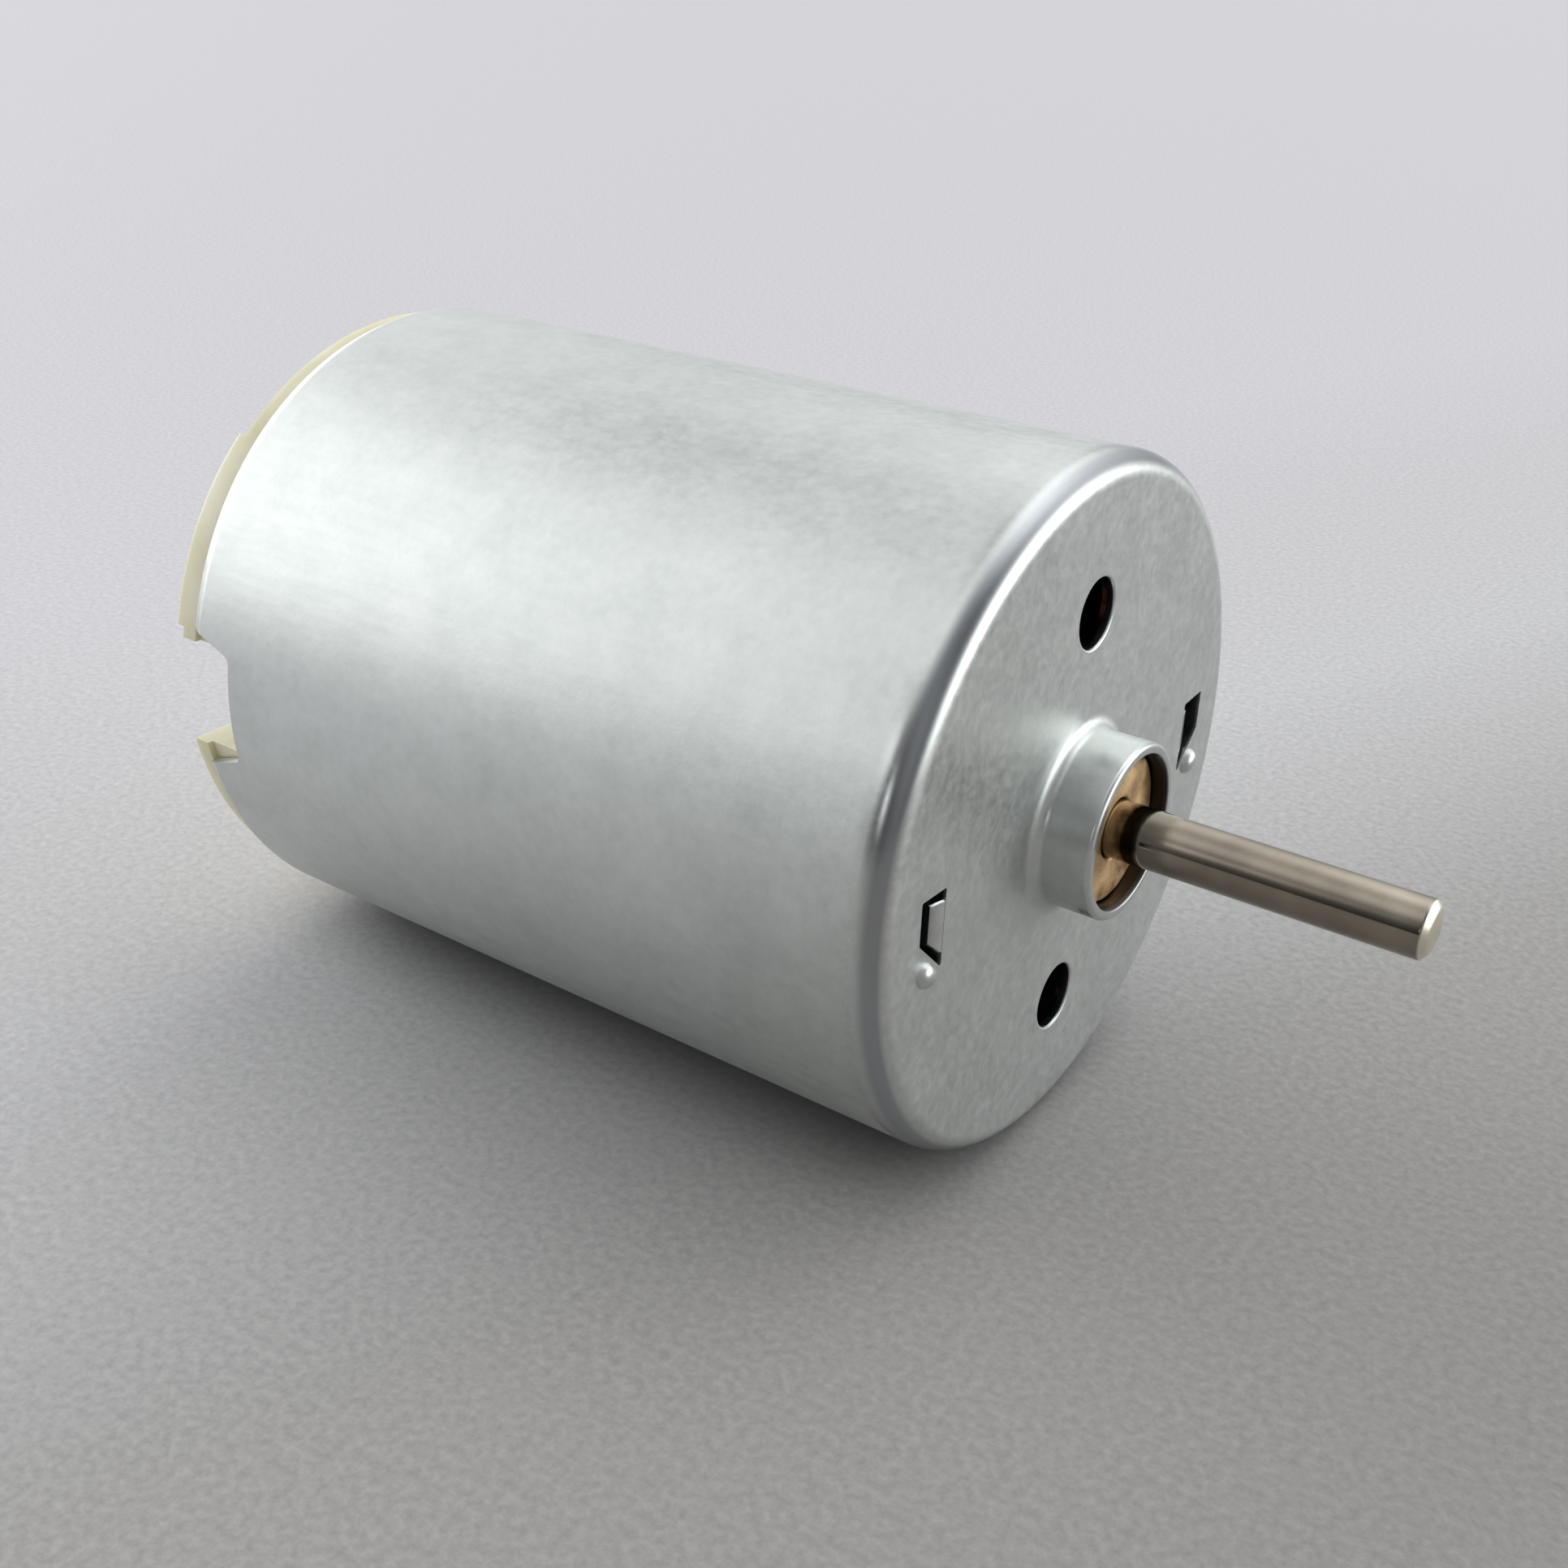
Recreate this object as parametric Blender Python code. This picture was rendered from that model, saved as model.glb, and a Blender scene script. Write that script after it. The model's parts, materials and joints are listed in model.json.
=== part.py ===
"""Small round can DC motor, about 24 mm across, lying on its side.

The shaft runs along +X and comes out of the front. +Z is up. The origin is the
centre of the bottom of the motor's bounding box, so the can rests on z = 0.
Every length below is in millimetres, and lengths along the shaft are measured
from the front mounting face, negative towards the terminals.
"""

from math import asin, cos, pi, radians, sin

import bmesh
import bpy
from mathutils import Matrix, Vector

MM = 0.001

# Steel can
CAN_RADIUS = 12.2
CAN_WALL = 0.5
CAN_REAR = -30.0
CAN_SEGMENTS = 64
SHOULDER_RADIUS = 0.85
CRIMP_LENGTH = 0.4
CRIMP_DROP = 0.25
BOSS_RADIUS = 3.08
BOSS_HEIGHT = 2.1
BOSS_FOOT = 0.2
BOSS_EDGE = 0.3
SCREW_HOLE_RADIUS = 1.2
SCREW_HOLE_PITCH_RADIUS = 7.2
SLOT_INNER_Y = 8.5
SLOT_OUTER_Y = 9.9
SLOT_INNER_Z = (-1.75, 1.05)
SLOT_OUTER_Z = (-0.38, 1.12)
TAB_THICKNESS = 0.4
TAB_LENGTH = 0.65
TAB_ROOT_OVERLAP = 0.1
TAB_ROOT_DROP = 0.02
TAB_ANGLE = radians(13)
TAB_ROOT_Z = (-1.28, 0.65)
TAB_TIP_Z = (-0.73, 0.65)
NOTCH_FRONT = -27.9
NOTCH_FRONT_HALF = 2.05
NOTCH_REAR_HALF = 2.75

# Shaft and bushes
SHAFT_RADIUS = 1.0
SHAFT_TIP = 12.3
SHAFT_REAR = -30.9
SHAFT_CHAMFER = 0.2
BUSH_RADIUS = 2.6
BUSH_BORE = 1.05
FRONT_BUSH = (1.55, -1.8)
REAR_BUSH = (-28.3, -30.5)
PRESS_BORE = 1.03

# Magnets and their clip
MAGNET = (-3.0, -22.0)
MAGNET_INNER = 8.3
MAGNET_OUTER = 11.6
MAGNET_HALF_ANGLE = radians(62)
CLIP = (-4.5, -20.0)
CLIP_THICKNESS = 0.4
CLIP_LEG_INNER = 8.7
CLIP_HALF_ANGLE = radians(27)

# Armature
POLES = 3
CORE = (-5.8, -19.3)
CORE_RADIUS = 7.9
SHOE_INNER = 6.45
SHOE_TIP_INNER = 7.0
SHOE_HALF_ANGLE = radians(54)
WEB_HALF = 1.5
HUB_RADIUS = 2.5
INSULATOR = 0.5
INSULATOR_GAP = 0.05
COIL_GAP = 0.15
COIL_END_SLOPE = 0.7
COIL_CORNER = 0.3
COIL_INNER_HEIGHT = 2.9
COIL_OUTER_HEIGHT = 5.9
COIL_CROWN = 0.3
COIL_CROWN_WIDTH = 2.6
COIL_FLANK = 1.5
COIL_FLANK_WIDTH = 4.4
COIL_FOOT = 0.2
COIL_WIDEST = 4.6

# Commutator
COMMUTATOR_RADIUS = 2.6
COMMUTATOR_HUB_RADIUS = 2.0
COMMUTATOR_HUB = (-22.1, -27.4)
SEGMENT = (-23.4, -27.4)
SEGMENT_HALF_ANGLE = radians(57)
RISER_RADIUS = 3.5
RISER_THICKNESS = 0.5
VARISTOR = (-22.3, -23.3)
VARISTOR_RADIUS = 4.0
RING_WIDTH = 0.45
RING_RADIUS = 2.7
WASHER_THICKNESS = 0.25
WASHER_RADIUS = 2.2
SPACER_RADIUS = 1.9

# End bell
BELL_FRONT = -24.0
SPIGOT_RADIUS = 11.63
SPIGOT_INNER = 10.4
FLANGE_FRONT = -30.1
FLANGE_RADIUS = 11.85
RIM_LOW = -30.8
RIM_HIGH = -31.25
RIM_INNER = 9.6
RIM_LOW_START = radians(-12)
RIM_LOW_SWEEP = radians(144)
BELL_FLOOR = -30.3
BELL_WALL = -28.7
REAR_BOSS_RADIUS = 4.0
REAR_BOSS_END = -32.1
VENT_INNER_Y = 8.5
POST_Y = (-3.75, -1.8)
POST_Z = (5.2, 6.9)
FINGER = (-24.8, -20.0)
FINGER_RADII = (10.5, 11.53)
FINGER_LEAD = (0.5, 0.4)
FINGER_HALF_ANGLE = radians(18)

# Terminals and brush gear, drawn for the upper terminal
TERMINAL_END = -34.2
TERMINAL_HALF_WIDTH = 1.15
TERMINAL_Z = (7.9, 8.3)
TERMINAL_CORNER = 0.45
WELL_CLEARANCE = 0.1
TERMINAL_HOLE_RADIUS = 0.6
TERMINAL_HOLE_X = -32.9
FOOT = (-24.8, -27.4)
FOOT_Y = -3.6
ARM_THICKNESS = 0.2
ARM_Y = -4.1
ARM_PIVOT_Z = 7.7
ARM_TAB_Y = -1.5
ARM_END_Z = -2.6
ARM_WIDTH = (-24.4, -27.2)
BRUSH_FACE_Y = -2.66
BRUSH_WIDTH = (-24.8, -26.8)
BRUSH_HALF_HEIGHT = 0.8
DAMPER_THICKNESS = 1.2
DAMPER_HALF_HEIGHT = 1.3

# Running gap between neighbouring pieces, and how far a cutter reaches past what it cuts
GAP = 0.05
PAST = 1.0
FACE_X = -(SHAFT_TIP + TERMINAL_END) / 2


def clear_scene():
    for old in list(bpy.data.objects):
        bpy.data.objects.remove(old, do_unlink=True)


def material(name, colour, metallic, roughness):
    """A Principled surface, one for each kind of piece."""
    surface = bpy.data.materials.new(name)
    surface.use_nodes = True
    shader = surface.node_tree.nodes["Principled BSDF"]
    shader.inputs["Base Color"].default_value = (*colour, 1.0)
    shader.inputs["Metallic"].default_value = metallic
    shader.inputs["Roughness"].default_value = roughness
    surface.diffuse_color = (*colour, 1.0)
    return surface


def polar(radius, angle):
    """A point (y, z) at an angle that starts at +Y and turns towards +Z."""
    return radius * cos(angle), radius * sin(angle)


def arc(centre, radius, start, stop, steps):
    """Points along an arc, as pairs in the plane that the caller draws in."""
    points = []
    for step in range(steps + 1):
        angle = start + (stop - start) * step / steps
        points.append((centre[0] + radius * cos(angle), centre[1] + radius * sin(angle)))
    return points


def add_revolved(mesh, profile, steps, start=0.0, sweep=2 * pi):
    """Turns a closed (x, radius) outline about the X axis, with end caps on a part turn."""
    full = abs(sweep - 2 * pi) < 1e-9
    on_axis = {}
    rings = []
    for step in range(steps if full else steps + 1):
        angle = start + sweep * step / steps
        ring = []
        for index, (x, radius) in enumerate(profile):
            if radius == 0 and index in on_axis:
                ring.append(on_axis[index])
                continue
            y, z = polar(radius, angle)
            vertex = mesh.verts.new(Vector((x, y, z)) * MM)
            if radius == 0:
                on_axis[index] = vertex
            ring.append(vertex)
        rings.append(ring)
    pairs = list(zip(rings, rings[1:]))
    if full:
        pairs.append((rings[-1], rings[0]))
    for ring, following in pairs:
        for index in range(len(profile)):
            after = (index + 1) % len(profile)
            corners = [ring[index], ring[after], following[after], following[index]]
            corners = list(dict.fromkeys(corners))
            if len(corners) > 2:
                mesh.faces.new(corners)
    if not full:
        mesh.faces.new(rings[0])
        mesh.faces.new(rings[-1])


def add_prism(mesh, outline, low, high, axis):
    """Extrudes an outline along one axis. Outlines are (y, z) for X, (x, z) for Y, (x, y) for Z."""
    def place(point, along):
        parts = list(point)
        parts.insert("XYZ".index(axis), along)
        return Vector(parts) * MM

    bottom = [mesh.verts.new(place(point, low)) for point in outline]
    top = [mesh.verts.new(place(point, high)) for point in outline]
    mesh.faces.new(bottom)
    mesh.faces.new(top)
    for index in range(len(outline)):
        after = (index + 1) % len(outline)
        mesh.faces.new([bottom[index], bottom[after], top[after], top[index]])


def circle(centre, radius, steps):
    return arc(centre, radius, pi / steps, pi / steps + 2 * pi * (steps - 1) / steps, steps - 1)


def rectangle(low_first, high_first, low_second, high_second):
    return [
        (low_first, low_second),
        (high_first, low_second),
        (high_first, high_second),
        (low_first, high_second),
    ]


def half_turn(mesh, vertices):
    """Copies the given faces' geometry to the opposite side of the shaft."""
    faces = {face for vertex in vertices for face in vertex.link_faces}
    copy = bmesh.ops.duplicate(mesh, geom=list(vertices) + list(faces))
    copied = [item for item in copy["geom"] if isinstance(item, bmesh.types.BMVert)]
    bmesh.ops.rotate(mesh, verts=copied, cent=(0, 0, 0), matrix=Matrix.Rotation(pi, 3, "X"))


def finish_object(mesh, name, surface, parent, location=(0, 0, 0), turn=0.0):
    """Makes the object. The mesh is drawn in motor coordinates and moved to the origin given."""
    bmesh.ops.recalc_face_normals(mesh, faces=mesh.faces)
    offset = Vector(location) * MM
    bmesh.ops.translate(mesh, verts=mesh.verts, vec=-offset)
    data = bpy.data.meshes.new(name)
    mesh.to_mesh(data)
    mesh.free()
    data.shade_smooth()
    data.set_sharp_from_angle(angle=radians(35))
    if surface:
        data.materials.append(surface)
    return place_object(name, data, parent, offset, turn)


def place_object(name, data, parent, offset=Vector((0, 0, 0)), turn=0.0):
    piece = bpy.data.objects.new(name, data)
    bpy.context.scene.collection.objects.link(piece)
    piece.parent = parent
    piece.location = offset
    piece.rotation_euler = (turn, 0, 0)
    return piece


def empty(name, location, parent=None, turn=0.0):
    marker = bpy.data.objects.new(name, None)
    marker.empty_display_size = 5 * MM
    marker.location = Vector(location) * MM
    marker.rotation_euler = (turn, 0, 0)
    marker.parent = parent
    bpy.context.scene.collection.objects.link(marker)
    return marker


def boolean(piece, tool, operation):
    """Cuts the piece with the tool or joins them, and hides the tool."""
    modifier = piece.modifiers.new(tool.name, "BOOLEAN")
    modifier.operation = operation
    modifier.solver = "EXACT"
    modifier.object = tool
    tool.hide_render = True
    tool.display_type = "WIRE"


def build_can(frame, surface):
    outer = CAN_RADIUS / cos(pi / CAN_SEGMENTS)
    inner = outer - CAN_WALL
    front_inner = -CAN_WALL
    bush_seat = BUSH_RADIUS + GAP
    inner_corner = SHOULDER_RADIUS - CAN_WALL
    profile = [
        (CAN_REAR, outer - CRIMP_DROP),
        (CAN_REAR + CRIMP_LENGTH, outer),
    ]
    profile += arc((-SHOULDER_RADIUS, outer - SHOULDER_RADIUS), SHOULDER_RADIUS, pi / 2, 0, 5)
    profile += arc((BOSS_FOOT, BOSS_RADIUS + BOSS_FOOT), BOSS_FOOT, pi, pi * 1.5, 2)
    profile += arc((BOSS_HEIGHT - BOSS_EDGE, BOSS_RADIUS - BOSS_EDGE), BOSS_EDGE, pi / 2, 0, 3)
    profile += [(BOSS_HEIGHT, bush_seat), (front_inner, bush_seat)]
    profile += arc((front_inner - inner_corner, inner - inner_corner), inner_corner, 0, pi / 2, 2)
    profile += [(CAN_REAR, inner)]
    mesh = bmesh.new()
    add_revolved(mesh, profile, CAN_SEGMENTS, start=pi / CAN_SEGMENTS)
    can = finish_object(mesh, "housing_can", surface, frame)

    openings = bmesh.new()
    for side in (1, -1):
        hole = circle((0, side * SCREW_HOLE_PITCH_RADIUS), SCREW_HOLE_RADIUS, 24)
        add_prism(openings, hole, -CAN_WALL - PAST, PAST, "X")
    slot = [
        (SLOT_INNER_Y, SLOT_INNER_Z[0]),
        (SLOT_OUTER_Y, SLOT_OUTER_Z[0]),
        (SLOT_OUTER_Y, SLOT_OUTER_Z[1]),
        (SLOT_INNER_Y, SLOT_INNER_Z[1]),
    ]
    notch_slope = (NOTCH_REAR_HALF - NOTCH_FRONT_HALF) / (NOTCH_FRONT - CAN_REAR)
    notch_end_half = NOTCH_REAR_HALF + notch_slope * PAST
    notch = [
        (NOTCH_FRONT, -NOTCH_FRONT_HALF),
        (NOTCH_FRONT, NOTCH_FRONT_HALF),
        (CAN_REAR - PAST, notch_end_half),
        (CAN_REAR - PAST, -notch_end_half),
    ]
    for side in (1, -1):
        add_prism(openings, [(side * y, z) for y, z in slot], -CAN_WALL - PAST, PAST, "X")
        add_prism(openings, notch, side * (CAN_RADIUS - 2 * PAST), side * (CAN_RADIUS + 2 * PAST), "Y")
    boolean(can, finish_object(openings, "can_openings", None, frame), "DIFFERENCE")

    tabs = bmesh.new()
    for side in (1, -1):
        add_tab(tabs, side)
    boolean(can, finish_object(tabs, "can_tabs", None, frame), "UNION")


def add_tab(mesh, side):
    """The short tongue that is bent inwards from the slot's inner edge, as a tapered plate."""
    along = Vector((-sin(TAB_ANGLE), side * cos(TAB_ANGLE), 0))
    across = Vector((-cos(TAB_ANGLE), -side * sin(TAB_ANGLE), 0))
    root = Vector((-TAB_ROOT_DROP, side * SLOT_INNER_Y, 0))
    ends = [(-TAB_ROOT_OVERLAP, TAB_ROOT_Z), (TAB_LENGTH, TAB_TIP_Z)]
    loops = []
    for distance, (low, high) in ends:
        loop = []
        for depth, z in ((0, low), (0, high), (1, high), (1, low)):
            point = root + along * distance + across * depth * TAB_THICKNESS + Vector((0, 0, z))
            loop.append(mesh.verts.new(point * MM))
        loops.append(loop)
    near, far = loops
    mesh.faces.new(near)
    mesh.faces.new(far)
    for index in range(4):
        after = (index + 1) % 4
        mesh.faces.new([near[index], near[after], far[after], far[index]])


def build_bell(frame, surface):
    seat = BUSH_RADIUS + GAP
    profile = [
        (BELL_FRONT, SPIGOT_RADIUS - 0.3),
        (BELL_FRONT - 0.3, SPIGOT_RADIUS),
        (FLANGE_FRONT, SPIGOT_RADIUS),
        (FLANGE_FRONT, FLANGE_RADIUS),
        (RIM_HIGH + 0.2, FLANGE_RADIUS),
        (RIM_HIGH, FLANGE_RADIUS - 0.2),
        (RIM_HIGH, RIM_INNER + 0.3),
        (BELL_FLOOR, RIM_INNER),
        (BELL_FLOOR, REAR_BOSS_RADIUS + 0.1),
        (REAR_BOSS_END + 0.25, REAR_BOSS_RADIUS),
        (REAR_BOSS_END, REAR_BOSS_RADIUS - 0.25),
        (REAR_BOSS_END, 0),
        (SHAFT_REAR - 0.3, 0),
        (SHAFT_REAR - 0.3, SHAFT_RADIUS + 0.4),
        (REAR_BUSH[1] - 0.1, SHAFT_RADIUS + 0.4),
        (REAR_BUSH[1] - 0.1, seat),
        (REAR_BUSH[0] + 0.1, seat),
        (REAR_BUSH[0] + 0.1, seat + 1.1),
        (BELL_WALL, seat + 1.3),
        (BELL_WALL, SPIGOT_INNER),
        (BELL_FRONT, SPIGOT_INNER),
    ]
    mesh = bmesh.new()
    add_revolved(mesh, profile, CAN_SEGMENTS, start=pi / CAN_SEGMENTS)
    bell = finish_object(mesh, "end_bell", surface, frame)

    additions = bmesh.new()
    post = rectangle(*POST_Y, *POST_Z)
    add_prism(additions, post, BELL_WALL - 0.5, ARM_WIDTH[0] - 0.2, "X")
    half_turn(additions, additions.verts[:])
    finger_root, finger_tip = FINGER
    finger_inner, finger_outer = FINGER_RADII
    lead_length, lead_height = FINGER_LEAD
    finger = [
        (finger_root, finger_inner),
        (finger_root, finger_outer),
        (finger_tip - lead_length, finger_outer),
        (finger_tip, finger_inner + lead_height),
        (finger_tip, finger_inner),
    ]
    start = -pi / 2 - FINGER_HALF_ANGLE
    add_revolved(additions, finger, 6, start=start, sweep=2 * FINGER_HALF_ANGLE)
    boolean(bell, finish_object(additions, "bell_additions", None, frame), "UNION")

    rims = bmesh.new()
    beyond = REAR_BOSS_END - PAST
    low_rim = [
        (RIM_LOW, RIM_INNER - 0.4),
        (RIM_LOW, FLANGE_RADIUS + PAST),
        (beyond, FLANGE_RADIUS + PAST),
        (beyond, RIM_INNER - 0.4),
    ]
    add_revolved(rims, low_rim, 20, start=RIM_LOW_START, sweep=RIM_LOW_SWEEP)
    half_turn(rims, rims.verts[:])
    boolean(bell, finish_object(rims, "bell_low_rims", None, frame), "DIFFERENCE")

    cuts = bmesh.new()
    vent = rectangle(beyond, NOTCH_FRONT, -NOTCH_FRONT_HALF, NOTCH_FRONT_HALF)
    add_prism(cuts, vent, VENT_INNER_Y, CAN_RADIUS + 2 * PAST, "Y")
    opening = rectangle(
        -TERMINAL_HALF_WIDTH - WELL_CLEARANCE,
        TERMINAL_HALF_WIDTH + WELL_CLEARANCE,
        TERMINAL_Z[0] - WELL_CLEARANCE,
        TERMINAL_Z[1] + WELL_CLEARANCE,
    )
    add_prism(cuts, opening, BELL_WALL + PAST, BELL_FLOOR - PAST, "X")
    half_turn(cuts, cuts.verts[:])
    boolean(bell, finish_object(cuts, "bell_cuts", None, frame), "DIFFERENCE")


def build_bush(frame, name, ends, surface):
    front, rear = ends
    chamfer = 0.2
    profile = [
        (front, BUSH_RADIUS - chamfer),
        (front - chamfer, BUSH_RADIUS),
        (rear + chamfer, BUSH_RADIUS),
        (rear, BUSH_RADIUS - chamfer),
        (rear, BUSH_BORE + chamfer),
        (rear + chamfer, BUSH_BORE),
        (front - chamfer, BUSH_BORE),
        (front, BUSH_BORE + chamfer),
    ]
    mesh = bmesh.new()
    add_revolved(mesh, profile, 32)
    finish_object(mesh, name, surface, frame)


def build_magnets(frame, surface):
    front, rear = MAGNET
    edge = 0.4
    profile = [
        (front, MAGNET_INNER),
        (front, MAGNET_OUTER - edge),
        (front - edge, MAGNET_OUTER),
        (rear + edge, MAGNET_OUTER),
        (rear, MAGNET_OUTER - edge),
        (rear, MAGNET_INNER),
    ]
    for name, centre in (("magnet_right", 0), ("magnet_left", pi)):
        mesh = bmesh.new()
        add_revolved(mesh, profile, 18, start=centre - MAGNET_HALF_ANGLE, sweep=2 * MAGNET_HALF_ANGLE)
        finish_object(mesh, name, surface, frame)


def build_magnet_clip(frame, surface):
    """A bent strip in the upper gap: a base along the can wall and two legs on the magnets' ends."""
    top = pi / 2
    inner = MAGNET_OUTER - CLIP_THICKNESS
    base_half = CLIP_HALF_ANGLE - asin(CLIP_THICKNESS / inner)
    leg_half = CLIP_HALF_ANGLE - asin(CLIP_THICKNESS / CLIP_LEG_INNER)
    outline = arc((0, 0), MAGNET_OUTER, top - CLIP_HALF_ANGLE, top + CLIP_HALF_ANGLE, 8)
    outline += [polar(CLIP_LEG_INNER, top + CLIP_HALF_ANGLE), polar(CLIP_LEG_INNER, top + leg_half)]
    outline += arc((0, 0), inner, top + base_half, top - base_half, 8)
    outline += [polar(CLIP_LEG_INNER, top - leg_half), polar(CLIP_LEG_INNER, top - CLIP_HALF_ANGLE)]
    mesh = bmesh.new()
    add_prism(mesh, outline, CLIP[1], CLIP[0], "X")
    finish_object(mesh, "magnet_clip", surface, frame)


def armature_outline(inset):
    """The three pole star, as (y, z) points with the first pole along +Z."""
    outline = []
    web = WEB_HALF - inset
    shoe_inner = SHOE_INNER + inset
    shoe_outer = CORE_RADIUS - inset
    half = SHOE_HALF_ANGLE - inset / CORE_RADIUS
    hub_half = asin(web / HUB_RADIUS)
    web_half = asin(web / shoe_inner)
    for pole in range(POLES):
        middle = pi / 2 + pole * 2 * pi / POLES
        outline += [polar(HUB_RADIUS, middle - hub_half), polar(shoe_inner, middle - web_half)]
        outline += [polar(shoe_inner, middle - half * 0.6), polar(SHOE_TIP_INNER + inset, middle - half)]
        outline += arc((0, 0), shoe_outer, middle - half, middle + half, 12)
        outline += [polar(SHOE_TIP_INNER + inset, middle + half), polar(shoe_inner, middle + half * 0.6)]
        outline += [polar(shoe_inner, middle + web_half), polar(HUB_RADIUS, middle + hub_half)]
        outline += [polar(HUB_RADIUS, middle + pi / POLES)]
    return outline


def build_core(axle, core_surface, insulator_surface):
    bore = bmesh.new()
    add_prism(bore, circle((0, 0), PRESS_BORE, 24), CORE[1] - 3, CORE[0] + 3, "X")
    bore_tool = finish_object(bore, "core_bore", None, axle)
    front = CORE[0] + INSULATOR_GAP
    rear = CORE[1] - INSULATOR_GAP
    stack = [
        ("armature_core", CORE[1], CORE[0], 0.0, core_surface),
        ("insulator_front", front, front + INSULATOR, 0.05, insulator_surface),
        ("insulator_rear", rear - INSULATOR, rear, 0.05, insulator_surface),
    ]
    for name, low, high, inset, surface in stack:
        mesh = bmesh.new()
        add_prism(mesh, armature_outline(inset), low, high, "X")
        boolean(finish_object(mesh, name, surface, axle), bore_tool, "DIFFERENCE")


def rounded_loop(half_length, half_width, corner, steps):
    """A rounded rectangle, as (along, across) points."""
    loop = []
    centres = [(1, 1), (-1, 1), (-1, -1), (1, -1)]
    for quarter, (side_along, side_across) in enumerate(centres):
        centre = (side_along * (half_length - corner), side_across * (half_width - corner))
        loop += arc(centre, corner, quarter * pi / 2, (quarter + 1) * pi / 2, steps)
    return loop


def build_coils(axle, surface):
    """Each coil is lofted through one rounded loop for each corner of its cross section."""
    middle = (CORE[0] + CORE[1]) / 2
    half_core = (CORE[0] - CORE[1]) / 2 + INSULATOR_GAP + INSULATOR
    narrow = WEB_HALF + COIL_GAP
    section = [
        (COIL_INNER_HEIGHT, narrow),
        (COIL_OUTER_HEIGHT, narrow),
        (COIL_OUTER_HEIGHT - COIL_CROWN, COIL_CROWN_WIDTH),
        (COIL_OUTER_HEIGHT - COIL_FLANK, COIL_FLANK_WIDTH),
        (COIL_INNER_HEIGHT + COIL_FOOT, COIL_WIDEST),
    ]
    for pole in range(POLES):
        mesh = bmesh.new()
        loops = []
        for height, width in section:
            half_length = half_core + COIL_GAP + (width - narrow) * COIL_END_SLOPE
            corner = COIL_CORNER + (width - narrow) * COIL_END_SLOPE * 0.8
            loop = rounded_loop(half_length, width, corner, 4)
            loops.append([mesh.verts.new(Vector((middle + x, y, height)) * MM) for x, y in loop])
        for index, loop in enumerate(loops):
            following = loops[(index + 1) % len(loops)]
            for place in range(len(loop)):
                after = (place + 1) % len(loop)
                mesh.faces.new([loop[place], loop[after], following[after], following[place]])
        turn = Matrix.Rotation(pole * 2 * pi / POLES, 3, "X")
        bmesh.ops.rotate(mesh, verts=mesh.verts, cent=(0, 0, 0), matrix=turn)
        finish_object(mesh, f"coil_{pole + 1}", surface, axle)


def build_commutator(axle, hub_surface, copper_surface, varistor_surface):
    front, rear = COMMUTATOR_HUB
    mesh = bmesh.new()
    hub = rectangle(rear, front, PRESS_BORE, COMMUTATOR_HUB_RADIUS)
    add_revolved(mesh, hub, 24)
    finish_object(mesh, "commutator_hub", hub_surface, axle)

    base = COMMUTATOR_HUB_RADIUS + GAP
    front, rear = SEGMENT
    profile = [
        (rear, base),
        (front, base),
        (front, RISER_RADIUS),
        (front - RISER_THICKNESS, RISER_RADIUS),
        (front - RISER_THICKNESS, COMMUTATOR_RADIUS),
        (rear, COMMUTATOR_RADIUS),
    ]
    for pole in range(POLES):
        middle = pi / 2 + pi / POLES + pole * 2 * pi / POLES
        mesh = bmesh.new()
        start = middle - SEGMENT_HALF_ANGLE
        add_revolved(mesh, profile, 10, start=start, sweep=2 * SEGMENT_HALF_ANGLE)
        finish_object(mesh, f"commutator_segment_{pole + 1}", copper_surface, axle)

    ring = (rear - GAP, rear - GAP - RING_WIDTH)
    rings = [
        ("varistor_ring", VARISTOR, base, VARISTOR_RADIUS, varistor_surface),
        ("commutator_ring", ring, PRESS_BORE, RING_RADIUS, hub_surface),
    ]
    for name, (high, low), inner, outer, surface in rings:
        mesh = bmesh.new()
        add_revolved(mesh, rectangle(low, high, inner, outer), 32)
        finish_object(mesh, name, surface, axle)


def build_shaft(axle, steel, washer_surface):
    profile = [
        (SHAFT_REAR, 0),
        (SHAFT_REAR, SHAFT_RADIUS - SHAFT_CHAMFER),
        (SHAFT_REAR + SHAFT_CHAMFER, SHAFT_RADIUS),
        (SHAFT_TIP - SHAFT_CHAMFER, SHAFT_RADIUS),
        (SHAFT_TIP, SHAFT_RADIUS - SHAFT_CHAMFER),
        (SHAFT_TIP, 0),
    ]
    mesh = bmesh.new()
    add_revolved(mesh, profile, 24)
    finish_object(mesh, "shaft", steel, axle)

    front_washer = FRONT_BUSH[1] - GAP
    front_washer_rear = front_washer - WASHER_THICKNESS
    rear_washer = REAR_BUSH[0] + GAP
    insulator_face = CORE[0] + INSULATOR_GAP + INSULATOR
    collars = [
        ("thrust_washer_front", front_washer, front_washer_rear, WASHER_RADIUS),
        ("spacer_front", front_washer_rear - GAP, insulator_face + GAP, SPACER_RADIUS),
        ("thrust_washer_rear", rear_washer + WASHER_THICKNESS, rear_washer, WASHER_RADIUS),
    ]
    for name, high, low, outer in collars:
        mesh = bmesh.new()
        add_revolved(mesh, rectangle(low, high, PRESS_BORE, outer), 24)
        finish_object(mesh, name, washer_surface, axle)


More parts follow.
